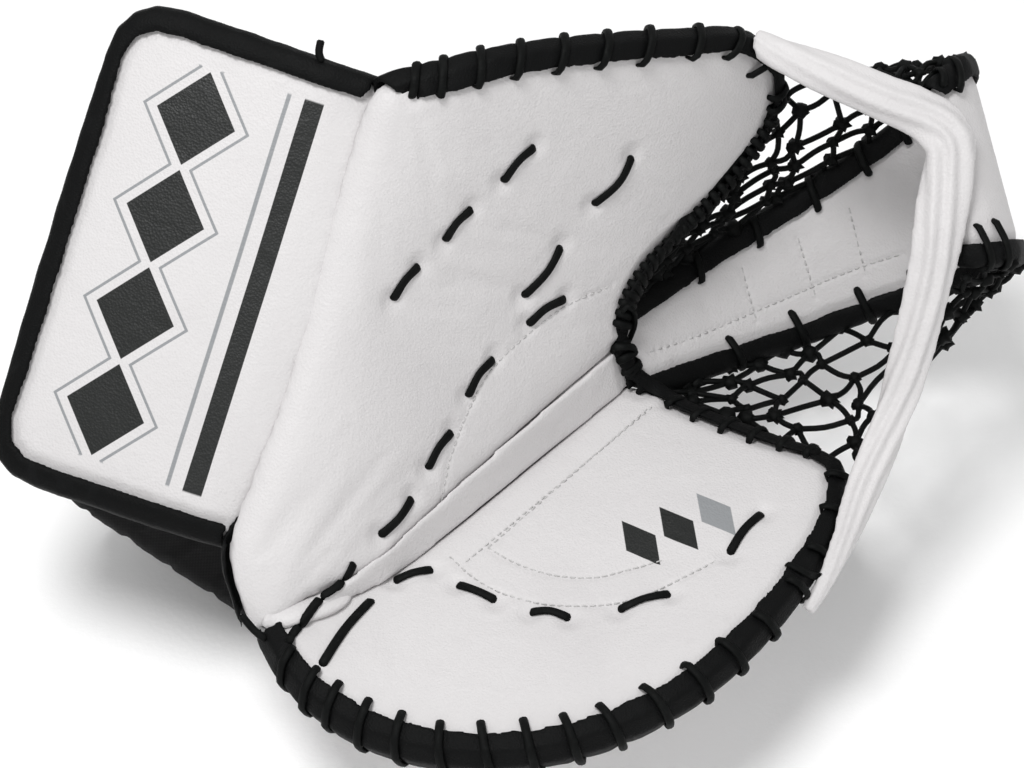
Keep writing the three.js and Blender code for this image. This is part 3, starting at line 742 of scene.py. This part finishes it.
def tape_piece(node):
    """A binding with its facets taken off and the slight waves of a sewn tape."""
    piece = copy_of(node, node.replace("binding", "tape"))
    even_skin(piece, TAPE_VOXEL, 5)
    normals = [vertex.normal.copy() for vertex in piece.data.vertices]
    for vertex, normal in zip(piece.data.vertices, normals):
        vertex.co += normal * (noise.noise(vertex.co * 95) * 0.0004)
    piece.data.shade_smooth()
    piece.data.materials.append(binding_tape)
    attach(piece, "root")
    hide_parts(node)
    return piece


binding_tape = tape_finish()
TAPED_NODES = [
    "palm_binding",
    "thumb_binding",
    "heel_binding",
    "root_binding",
    "cuff_binding",
    "stem_binding_upper",
    "stem_binding_lower",
]
tapes = {node: tape_piece(node) for node in TAPED_NODES}
tape_points = [vertex.co.copy() for piece in tapes.values() for vertex in piece.data.vertices]
for cover in (palm_cover, thumb_cover, cuff_cover, stem_cover, break_gusset):
    press(cover, tape_points, TAPE_GRIP, TAPE_SQUEEZE)
thumb_points = [vertex.co.copy() for vertex in thumb_cover.data.vertices]
shares = nearness(cuff_cover, thumb_points, 0, FOLD_REACH)
for vertex, share in zip(cuff_cover.data.vertices, shares):
    vertex.co -= FOLD_SHIFT * share

# The tapes' ends are tucked under the leather at the thumb's upper corner and at the heel.
TUCKED_ENDS = [("thumb_binding", 408, 102), ("palm_binding", 291, 620)]
for node, px, py in TUCKED_ENDS:
    tucked_end = Skin(tapes[node]).seen(px, py)
    if tucked_end:
        shares = nearness(tapes[node], [tucked_end[0]], 0.0015, CORNER_REACH)
        for vertex, share in zip(tapes[node].data.vertices, shares):
            vertex.co -= tucked_end[1] * (CORNER_DEPTH * share)

# The thumb's foot: a fold of leather at the heel, where the thumb's cover laps over the corner of
# the palm and hides the end of the break gusset. The heel laces cross over it.
FOOT_LINE = [(263, 622), (280, 620), (302, 614), (326, 607), (350, 597)]
FOOT_WIDTH = 0.0125
FOOT_THICKNESS = 0.0060
FOOT_LIFT = 0.0016
FOOT_SEGMENTS = 24
FOOT_SIDES = 16


def straight_bar(name, segments, sides):
    """A straight round bar one unit long and one unit thick, ready to be laid along a route."""
    bpy.ops.object.select_all(action="DESELECT")
    bpy.ops.mesh.primitive_circle_add(
        vertices=sides, radius=0.5, fill_type="NGON", rotation=(0, math.pi / 2, 0)
    )
    bar = bpy.context.object
    bar.name = name
    bpy.ops.object.transform_apply(location=False, rotation=True, scale=False)
    bpy.ops.object.mode_set(mode="EDIT")
    bpy.ops.mesh.select_all(action="SELECT")
    for _ in range(segments):
        bpy.ops.mesh.extrude_region_move(TRANSFORM_OT_translate={"value": (1 / segments, 0, 0)})
    bpy.ops.mesh.select_all(action="SELECT")
    bpy.ops.mesh.normals_make_consistent(inside=False)
    bpy.ops.object.mode_set(mode="OBJECT")
    return bar


def lay(copy, route, width, thickness, blunt):
    """Bends a bar along a route of places and outward directions."""
    count = len(route) - 1
    for vertex in copy.data.vertices:
        along, y, z = vertex.co
        station = min(max(round(along * count), 0), count)
        place, outward = route[station]
        before = route[max(station - 1, 0)][0]
        after = route[min(station + 1, count)][0]
        tangent = (after - before).normalized()
        side = outward.cross(tangent).normalized()
        outward = tangent.cross(side)
        end = min(station, count - station) / count
        size = 1 if not blunt or end > 0.06 else 0.62 + 6 * end
        vertex.co = place + side * (y * width * size) + outward * (z * thickness * size)


def laid_copies(name, bar, routes, width, thickness, material, blunt=True):
    """One piece made of a copy of the bar along each route."""
    bpy.ops.object.select_all(action="DESELECT")
    for route in routes:
        copy = bar.copy()
        copy.data = bar.data.copy()
        bpy.context.scene.collection.objects.link(copy)
        lay(copy, route, width, thickness, blunt)
        copy.select_set(True)
    bpy.context.view_layer.objects.active = copy
    bpy.ops.object.join()
    piece = bpy.context.object
    piece.name = name
    bpy.ops.object.mode_set(mode="EDIT")
    bpy.ops.mesh.select_all(action="SELECT")
    bpy.ops.mesh.normals_make_consistent(inside=False)
    bpy.ops.object.mode_set(mode="OBJECT")
    piece.data.shade_smooth()
    piece.data.materials.append(material)
    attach(piece, "root")
    return piece


def eased(route, passes):
    """Takes the jumps out of a route that steps from one panel to the next."""
    for _ in range(passes):
        middles = [
            (
                (route[k - 1][0] + route[k][0] * 2 + route[k + 1][0]) / 4,
                (route[k - 1][1] + route[k][1] * 2 + route[k + 1][1]).normalized(),
            )
            for k in range(1, len(route) - 1)
        ]
        route = [route[0], *middles, route[-1]]
    return route


corner_skin = Skin(palm_cover, thumb_cover)
foot_spots = smooth_route([(px, py, 0) for px, py in FOOT_LINE], count=FOOT_SEGMENTS)
foot_hits = [hit for hit in (corner_skin.seen(spot.x, spot.y) for spot in foot_spots) if hit]
foot_hits = [(place + normal * FOOT_LIFT, normal) for place, normal in foot_hits]
foot_bar = straight_bar("foot_bar", len(foot_hits) - 1, FOOT_SIDES)
for vertex in foot_bar.data.vertices:
    taper = max(1 - abs(2 * vertex.co.x - 1) ** 3, 0.02) ** 0.5
    vertex.co.y *= taper
    vertex.co.z *= taper
thumb_foot = laid_copies(
    "thumb_foot",
    foot_bar,
    [eased(foot_hits, 12)],
    FOOT_WIDTH,
    FOOT_THICKNESS,
    plain_leather,
    False,
)
bpy.data.objects.remove(foot_bar)

# The web edge tape: a second, flat tape that is sewn down beside the binding where the net is
# laced on, from the thumb's corner round the root of the pocket to the palm's corner.
WEB_EDGE = [
    (772, 104), (767, 125), (733, 168), (697, 212), (660, 255), (634, 292), (619, 332), (624, 360),
    (643, 380), (687, 405), (741, 427), (785, 443), (820, 452),
]
WEB_TAPE_WIDTH = 0.0072
WEB_TAPE_THICKNESS = 0.0016
WEB_TAPE_SEGMENTS = 90
WEB_TAPE_SIDES = 10

front_skin = Skin(palm_cover, thumb_cover, break_gusset, thumb_foot, *tapes.values())
web_spots = smooth_route([(px, py, 0) for px, py in WEB_EDGE], count=WEB_TAPE_SEGMENTS)
web_hits = [hit for hit in (front_skin.seen(spot.x, spot.y) for spot in web_spots) if hit]
web_bar = straight_bar("web_bar", len(web_hits) - 1, WEB_TAPE_SIDES)
laid_copies(
    "web_edge_tape",
    web_bar,
    [eased(web_hits, 6)],
    WEB_TAPE_WIDTH,
    WEB_TAPE_THICKNESS,
    binding_tape,
    False,
)
bpy.data.objects.remove(web_bar)

# The laces: flat black leather laces, 4 mm wide and 2 mm thick. One is modelled straight, and a
# copy is laid along each route, with its ends rounded and sunk into their holes.
LACE_WIDTH = 0.0040
LACE_THICKNESS = 0.0021
LACE_SIDES = 8
LACE_SEGMENTS = 16
HOLE_SHARE = 0.10
HOLE_DEPTH = 0.0022


def lace_finish():
    finish = Finish("lace_leather")
    fibres = finish.noise(1500, 3, 0.4)
    rubbed = finish.step(finish.noise(120, 4, 1.0), 0.5, 0.8)
    colour = finish.blend(rubbed * 0.5, (0.0024, 0.0028, 0.0027, 1), (0.011, 0.012, 0.0115, 1))
    rough = 0.52 + 0.16 * fibres
    height = 0.6 * fibres + 0.5 * finish.noise(260, 3)
    finish.shader.inputs["Specular IOR Level"].default_value = 0.10
    return finish.surface(colour, rough, height, 0.0005, 0.6)


def dash_route(skin, pixels):
    """A lace that comes up through one hole, lies on the leather and goes down the next."""
    spots = smooth_route([(px, py, 0) for px, py in pixels], count=LACE_SEGMENTS)
    hits = [hit for hit in (skin.seen(spot.x, spot.y) for spot in spots) if hit]
    route = []
    for k, (place, normal) in enumerate(hits):
        share = min(k, len(hits) - 1 - k) / LACE_SEGMENTS
        sunk = max(0, 1 - share / HOLE_SHARE) ** 2 * HOLE_DEPTH
        route.append((place + normal * (0.42 * LACE_THICKNESS - sunk), normal))
    return route


lace_leather = lace_finish()
lace_bar = straight_bar("lace_bar", LACE_SEGMENTS, LACE_SIDES)
laid_copies(
    "panel_laces",
    lace_bar,
    [dash_route(front_skin, line) for line in PALM_LACES + THUMB_LACES + HEEL_LACES],
    LACE_WIDTH,
    LACE_THICKNESS,
    lace_leather,
)

# The edge laces: the same lace whipped over the bound edges. Each turn comes out of a hole in
# the leather, is pulled tight round the binding and goes back in behind.
WHIP_REACH = 0.030
WHIP_SLICE = 0.0014
WHIP_LIFT = 0.0008
# Pixels where the lace comes out of the leather, along each stretch of binding. The pitch, where
# there is one, spaces more turns along the same line, and the slant is in turns.
WHIP_ROWS = [
    {
        "tapes": ["palm_binding"],
        "cover": palm_cover,
        "slant": 0.45,
        "pixels": [
            (294, 645), (319, 668), (342, 680), (371, 697), (404, 709), (441, 719), (480, 719),
            (522, 716), (561, 712), (596, 703), (639, 685), (680, 665), (715, 643), (752, 612),
            (785, 578), (806, 545), (819, 512), (825, 480),
        ],
    },
    {
        "tapes": ["thumb_binding"],
        "cover": thumb_cover,
        "slant": 0.8,
        "pixels": [
            (411, 100), (438, 97), (475, 89), (512, 81), (553, 76), (595, 71), (637, 68), (687, 60),
            (722, 60), (745, 78),
        ],
    },
    {
        "tapes": ["thumb_binding", "root_binding"],
        "cover": thumb_cover,
        "slant": 0.6,
        "pitch": 11,
        "pixels": [
            (766, 98), (764, 118), (752, 137), (734, 163), (713, 187), (692, 209), (671, 231),
            (648, 253), (630, 276), (618, 300), (612, 322),
        ],
    },
    {
        "tapes": ["root_binding", "palm_binding", "thumb_binding"],
        "cover": break_gusset,
        "slant": 0.6,
        "pitch": 10,
        "pixels": [(610, 330), (612, 350), (622, 372), (642, 394)],
    },
    {
        "tapes": ["palm_binding"],
        "cover": palm_cover,
        "slant": 0.5,
        "pixels": [
            (636, 394), (665, 409), (690, 422), (718, 434), (747, 444), (777, 452), (804, 459),
        ],
    },
    {
        "tapes": ["stem_binding_upper"],
        "cover": stem_cover,
        "slant": 0.3,
        "pixels": [(701, 285), (760, 249), (819, 213), (871, 177), (911, 145)],
    },
    {
        "tapes": ["stem_binding_lower"],
        "cover": stem_cover,
        "slant": 0.2,
        "pixels": [(726, 335), (789, 309), (855, 286), (908, 268)],
    },
    {
        "tapes": ["stem_binding_upper"],
        "cover": stem_cover,
        "slant": 0.3,
        "pixels": [(943, 87), (955, 92)],
    },
    {
        "tapes": ["stem_binding_lower"],
        "cover": stem_cover,
        "slant": 0.2,
        "pixels": [(975, 222), (992, 217)],
    },
]


def around(section):
    """The tight loop round a section, from the top of its near side over its far side."""
    hull = [Vector(section[index]) for index in geometry.convex_hull_2d(section)]
    middle = sum(hull, Vector((0, 0))) / len(hull)
    hull.sort(key=lambda point: -math.atan2(point.y - middle.y, point.x - middle.x))
    top = min(range(len(hull)), key=lambda k: hull[k].length)
    hull = hull[top:] + hull[:top]
    low = min(range(len(hull)), key=lambda k: hull[k].y + hull[k].x)
    return [Vector((point.x, point.y, 0)) for point in hull[: low + 1]]


def whip(tree, points, place, normal, tangent, outward, slant):
    """One turn of lace over an edge, from its hole at place."""
    section = [(0.0, 0.0)]
    for point, _, _ in tree.find_range(place + outward * 0.010 - normal * 0.008, WHIP_REACH):
        spoke = point - place
        if abs(spoke.dot(tangent)) < WHIP_SLICE and spoke.dot(outward) > 0:
            section.append((spoke.dot(outward), spoke.dot(normal)))
    if len(section) < 8:
        return None
    loop = around(section)
    if len(loop) < 3:
        return None
    centre = sum(loop, Vector()) / len(loop)
    path = [loop[0]]
    for a, b in zip(loop, loop[1:]):
        path += [a.lerp(b, 0.5), b]
    flat = even_steps(path, LACE_SEGMENTS)
    route = []
    for k, point in enumerate(flat):
        before = flat[max(k - 1, 0)]
        after = flat[min(k + 1, LACE_SEGMENTS)]
        ahead = (after - before).normalized()
        out = Vector((-ahead.y, ahead.x, 0))
        if out.dot(point - centre) < 0:
            out = -out
        share = k / LACE_SEGMENTS
        end = min(share, 1 - share)
        lift = WHIP_LIFT - max(0, 1 - end / 0.05) * HOLE_DEPTH
        spot = point + out * lift
        route.append(
            (
                place + outward * spot.x + normal * spot.y + tangent * (slant * share),
                (outward * out.x + normal * out.y).normalized(),
            )
        )
    return route


def whips_of(row):
    near_pieces = [tapes[node] for node in row["tapes"]]
    skin = Skin(row["cover"], *near_pieces)
    tape_points = [vertex.co.copy() for piece in near_pieces for vertex in piece.data.vertices]
    points = tape_points + [vertex.co.copy() for vertex in row["cover"].data.vertices]
    tape_tree = tree_of(tape_points)
    tree = tree_of(points)
    pixels = row["pixels"]
    if "pitch" in row:
        closer = smooth_route([(px, py, 0) for px, py in pixels], row["pitch"])
        pixels = [tuple(spot.xy) for spot in closer]
    hits = [hit for hit in (skin.seen(px, py) for px, py in pixels) if hit]
    routes = []
    for k, (place, _) in enumerate(hits):
        near_hits = hits[max(k - 1, 0) : k + 2]
        normal = sum((turn for _, turn in near_hits), Vector()).normalized()
        if normal.dot(back) < 0:
            normal = -normal
        step = near_hits[-1][0] - near_hits[0][0]
        tangent = (step - normal * step.dot(normal)).normalized()
        outward = normal.cross(tangent)
        pulls = [spot - place for spot, _, _ in tape_tree.find_range(place, 0.016)]
        if pulls and sum(pulls, Vector()).dot(outward) < 0:
            outward = -outward
        pitch = step.length / max(len(near_hits) - 1, 1)
        route = whip(tree, points, place, normal, tangent, outward, row["slant"] * pitch)
        if route:
            routes.append(route)
    return routes


edge_routes = [route for row in WHIP_ROWS for route in whips_of(row)]
for piece in tapes.values():
    press(piece, [place for route in edge_routes for place, _ in route], 0.0055, 0.0007)
laid_copies(
    "edge_laces",
    lace_bar,
    edge_routes,
    LACE_WIDTH * 0.92,
    LACE_THICKNESS,
    lace_leather,
)

# The stitches: white thread along every seam, in small even stitches that sit in the seam's
# furrow, about seven to the inch.
THREAD = 0.0007
STITCH_PITCH = 0.0036
STITCH_LENGTH = 0.0022


def thread_finish():
    finish = Finish("thread")
    twist = finish.noise(3000, 2)
    colour = finish.blend(twist, (0.42, 0.415, 0.41, 1), (0.60, 0.595, 0.59, 1))
    return finish.surface(colour, 0.7, twist, 0.0001)


thread = thread_finish()
stitch_bar = straight_bar("stitch_bar", 3, 6)


def stitch_routes(skin, line):
    """Each stitch dips into the leather at both ends."""
    routes = []
    hits = trail(skin, line, STITCH_PITCH)
    for (place, normal), (following, _) in zip(hits, hits[1:]):
        forward = (following - place).normalized() * STITCH_LENGTH
        route = []
        for k in range(4):
            lift = (0.0001, 0.0004, 0.0004, 0.0001)[k] - 0.0002
            route.append((place + forward * (k / 3) + normal * lift, normal))
        routes.append(route)
    return routes


stitches = []
for cover, seams in (
    (palm_cover, PALM_SEAMS),
    (thumb_cover, THUMB_SEAMS),
    (stem_cover, STEM_SEAMS),
):
    sewn = Skin(cover)
    for line in seams:
        stitches += stitch_routes(sewn, line)
laid_copies("seam_stitches", stitch_bar, stitches, THREAD, THREAD, thread, False)

# The nets: thinner black laces knotted into an uneven diamond mesh on both sides of the stem and
# tied into the bindings at its edges. Knots stand proud where two laces cross.
NETS = [
    {
        "node": "web_net_upper",
        "along": 11,
        "across": 7,
        "panel": [
            (0.043, 0.059, 0.088),
            (0.045, 0.068, 0.106),
            (0.058, 0.084, 0.119),
            (0.084, 0.108, 0.130),
            (0.106, 0.129, 0.152),
            (0.111, 0.135, 0.180),
            (0.136, 0.106, 0.199),
            (0.155, 0.098, 0.195),
        ],
        "stem": [
            (0.038, 0.066, 0.097),
            (0.076, 0.106, 0.092),
            (0.108, 0.127, 0.098),
            (0.137, 0.140, 0.111),
            (0.170, 0.150, 0.134),
            (0.190, 0.145, 0.164),
            (0.188, 0.126, 0.194),
            (0.174, 0.106, 0.199),
            (0.166, 0.102, 0.192),
        ],
    },
    {
        "node": "web_net_lower",
        "along": 10,
        "across": 7,
        "panel": [
            (0.048, 0.056, 0.064),
            (0.083, 0.034, 0.064),
            (0.113, 0.017, 0.067),
            (0.140, 0.002, 0.071),
            (0.160, 0.009, 0.108),
            (0.168, 0.029, 0.135),
            (0.173, 0.044, 0.156),
        ],
        "stem": [
            (0.050, 0.042, 0.068),
            (0.099, 0.077, 0.054),
            (0.129, 0.092, 0.052),
            (0.159, 0.101, 0.059),
            (0.195, 0.101, 0.077),
            (0.214, 0.086, 0.106),
            (0.211, 0.061, 0.136),
            (0.196, 0.047, 0.149),
            (0.184, 0.050, 0.146),
        ],
    },
]
NET_SEGMENTS = 6
NET_SIDES = 6
NET_LACE = 0.0026
NET_SLACK = 0.0018
KNOT_SIZE = 0.0032
KNOT_JITTER = 0.30
EDGE_COUNT = 200


def tucked(point, depth):
    """Keeps a lace that ends in the band out of the band's skin."""
    place, normal = band_skin.near(point)
    if 0 < (place - point).dot(normal) < depth:
        return place - normal * depth
    return point


def net_mesh(net, draw):
    """Knots on a loose lattice over the net's surface, and the laces between them."""
    panel = smooth_route(net["panel"], count=EDGE_COUNT)
    stem = smooth_route(net["stem"], count=EDGE_COUNT)
    knots = {}
    for level in range(net["across"] + 1):
        inner = 0 < level < net["across"]
        for column in range(net["along"]):
            turn = (level + 1) % 2
            u = (column + 0.5 * turn + inner * draw.uniform(-1, 1) * KNOT_JITTER) / net["along"]
            v = (level + inner * draw.uniform(-1, 1) * KNOT_JITTER) / net["across"]
            if not 0.02 <= u <= 0.98:
                continue
            index = round(u * EDGE_COUNT)
            knots[level, 2 * column + turn] = panel[index].lerp(stem[index], v)
    routes = []
    for (level, column), start in knots.items():
        for sideways in (-1, 1):
            end = knots.get((level + 1, column + sideways))
            if end is None:
                continue
            outward = (back - (end - start).normalized() * back.dot((end - start).normalized()))
            slack = Vector([draw.uniform(-1, 1) for _ in range(3)]) * NET_SLACK
            middle = start.lerp(end, 0.5) + slack
            places = smooth_route([start, middle, end], count=NET_SEGMENTS)
            outward.normalize()
            routes.append([(tucked(place, 0.0035), outward) for place in places])
    return routes, knots


def knot(centre, size, draw):
    """A lumpy overhand knot, a little flattened towards the net's face."""
    ball = knot_form.copy()
    ball.data = knot_form.data.copy()
    bpy.context.scene.collection.objects.link(ball)
    phase = draw.uniform(0, 6)
    for vertex in ball.data.vertices:
        x, y, z = vertex.co
        lumps = 1 + 0.25 * math.sin(5 * math.atan2(y, x) + 3 * z + phase)
        vertex.co = centre + Vector((x, y, z * 0.8)) * (size * lumps)
    ball.select_set(True)
    return ball


band_skin = Skin(band_roll)
net_bar = straight_bar("net_bar", NET_SEGMENTS, NET_SIDES)
bpy.ops.object.select_all(action="DESELECT")
bpy.ops.mesh.primitive_ico_sphere_add(subdivisions=2, radius=1)
knot_form = bpy.context.object
for net in NETS:
    node = net["node"]
    draw = random.Random(node)
    routes, knots = net_mesh(net, draw)
    laces = laid_copies(
        node.replace("web", "laced"),
        net_bar,
        routes,
        NET_LACE,
        NET_LACE * 0.85,
        lace_leather,
        False,
    )
    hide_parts(node)
    bpy.ops.object.select_all(action="DESELECT")
    for (level, _), centre in knots.items():
        place, normal = band_skin.near(centre)
        if (centre - place).dot(normal) < KNOT_SIZE and (centre - place).length < 0.02:
            continue
        edge = level in (0, net["across"])
        tied = knot(centre, KNOT_SIZE * draw.uniform(0.75, 1.35) * (1.15 if edge else 1), draw)
    bpy.context.view_layer.objects.active = tied
    bpy.ops.object.join()
    tied = bpy.context.object
    tied.name = node.replace("web_net", "knots")
    tied.data.shade_smooth()
    tied.data.materials.append(lace_leather)
    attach(tied, "root")
bpy.data.objects.remove(knot_form)
bpy.data.objects.remove(net_bar)

# The tray behind the fingers: a padded bowl in the same white leather that the glove lies on,
# with one sewn ring round its flat middle and radial seams up its sides.
TRAY_MIDDLE = Vector((-0.0035, -0.0125, 0))
TRAY_RING = 0.052
TRAY_SEAM_COUNT = 7
TRAY_VOXEL = 0.003
TRAY_SWELL = 0.0022
TRAY_FLAT = 0.0015  # height of the flat middle that the glove lies on


def tray_seams():
    points = []
    for k in range(96):
        angle = 2 * math.pi * k / 96
        spoke = Vector((math.cos(angle), math.sin(angle), 0))
        points.append(TRAY_MIDDLE + spoke * TRAY_RING)
    for k in range(TRAY_SEAM_COUNT):
        angle = 2 * math.pi * (k + 0.5) / TRAY_SEAM_COUNT
        spoke = Vector((math.cos(angle), math.sin(angle), 0))
        for step in range(24):
            points.append(TRAY_MIDDLE + spoke * (TRAY_RING + 0.0035 * step))
    return points


tray_cover = copy_of("back_pad", "tray_cover")
even_skin(tray_cover, TRAY_VOXEL, SMOOTHING_PASSES)
tray_skin = Skin(tray_cover)
seam_spots = []
for spot in tray_seams():
    hit = tray_skin.cast(Vector((spot.x, spot.y, -0.1)), Vector((0, 0, 1)))
    if hit:
        seam_spots.append(hit[0])
tray_held = stronger(
    nearness(tray_cover, seam_spots, *SEAM_REACH),
    taped(tray_cover, "palm_panel", 0.003),
    [1.0 if vertex.co.z < TRAY_FLAT else 0.0 for vertex in tray_cover.data.vertices],
)
stuff(tray_cover, tray_held, STUFFING_PRESSURE, TRAY_SWELL)
subdivide(tray_cover)
press(tray_cover, seam_spots, 0.0024, 0.0009)
tray_cover.data.materials.append(plain_leather)
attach(tray_cover, "root")
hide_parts("back_pad")

# The hood and the wrist pad: matt black woven nylon over foam, quilted in rows. The hood covers
# the thumb from behind, and the wrist pad's row ends show as a wavy edge below the cuff.
def nylon_finish():
    finish = Finish("black_nylon")
    warp = finish.maths("SINE", finish.along((1, 0, 0), (0, 0, 0)) * 5200)
    weft = finish.maths("SINE", finish.along((0, 0.7, 0.7), (0, 0, 0)) * 5200)
    weave = 0.5 + 0.25 * warp + 0.25 * weft
    lint = finish.step(finish.noise(160, 5, 1.0), 0.6, 0.85)
    colour = finish.blend(lint * 0.5, (0.0045, 0.0046, 0.0050, 1), (0.016, 0.0165, 0.017, 1))
    return finish.surface(colour, 0.78 + 0.12 * weave, weave, 0.00025, 0.6)


black_nylon = nylon_finish()
WRIST_ORIGIN = Vector((-0.118, -0.030, 0.014))
WRIST_ACROSS = Vector((-0.692, 0.645, 0.324))
QUILT_PITCH = 0.021
HOOD_ALONG = Vector((0.306, 0.647, 0.699))
HOOD_PITCH = 0.036
ROW_WIDTH = 0.0016


def nylon_piece(node, name, voxel, direction, pitch, swell, pressure):
    """A fabric cover over foam, quilted in rows at the pitch along the direction."""
    piece = copy_of(node, name)
    even_skin(piece, voxel, SMOOTHING_PASSES)
    spots = sewn_rows(piece, direction, pitch)
    held = stronger(nearness(piece, spots, 0.0015, 0.0055), taped(piece, "back_pad", 0.0025))
    stuff(piece, held, pressure, swell)
    subdivide(piece)
    press(piece, spots, 0.003, 0.0012)
    piece.data.materials.append(black_nylon)
    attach(piece, "root")
    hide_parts(node)
    return piece


def sewn_rows(piece, direction, pitch):
    """Points near the sewn rows that run across the piece, on both of its faces."""
    spots = []
    for vertex in piece.data.vertices:
        off = ((vertex.co - WRIST_ORIGIN).dot(direction) / pitch + 0.25) % 1
        if min(off, 1 - off) * pitch < ROW_WIDTH:
            spots.append(vertex.co.copy())
    return spots


nylon_piece("thumb_hood", "thumb_hood_cover", 0.0027, HOOD_ALONG, HOOD_PITCH, 0.0012, 2)
nylon_piece("wrist_pad", "wrist_quilt", 0.0028, WRIST_ACROSS, QUILT_PITCH, 0.005, 4)

# The loose ends: short tails of lace that stick out where a run is knotted off, one at the heel
# and one at the top of the cuff, and the tie that holds the band's lower end to the palm.
TAILS = [
    {"pixels": [(266, 640), (254, 630), (241, 615)], "cover": palm_cover},
    {"pixels": [(322, 62), (319, 52), (321, 40)], "cover": cuff_cover},
]
BAND_TIE = [(787, 564), (799, 571), (810, 575), (822, 577)]


def tail_route(tail):
    """A lace end that starts on the surface and stands off it at the same distance from the eye."""
    first = Skin(tail["cover"], *tapes.values()).seen(*tail["pixels"][0])
    depth = (first[0] - eye).length
    spots = smooth_route([(px, py, 0) for px, py in tail["pixels"]], count=LACE_SEGMENTS)
    return [(eye + line_of_sight(spot.x, spot.y) * depth, back) for spot in spots]


tie_skin = Skin(band_roll, palm_cover, *tapes.values())
tail_routes = [tail_route(tail) for tail in TAILS]
tail_routes.append(dash_route(tie_skin, BAND_TIE))
laid_copies(
    "lace_tails",
    lace_bar,
    tail_routes,
    LACE_WIDTH * 0.8,
    LACE_THICKNESS,
    lace_leather,
)
bpy.data.objects.remove(lace_bar)
bpy.data.objects.remove(stitch_bar)
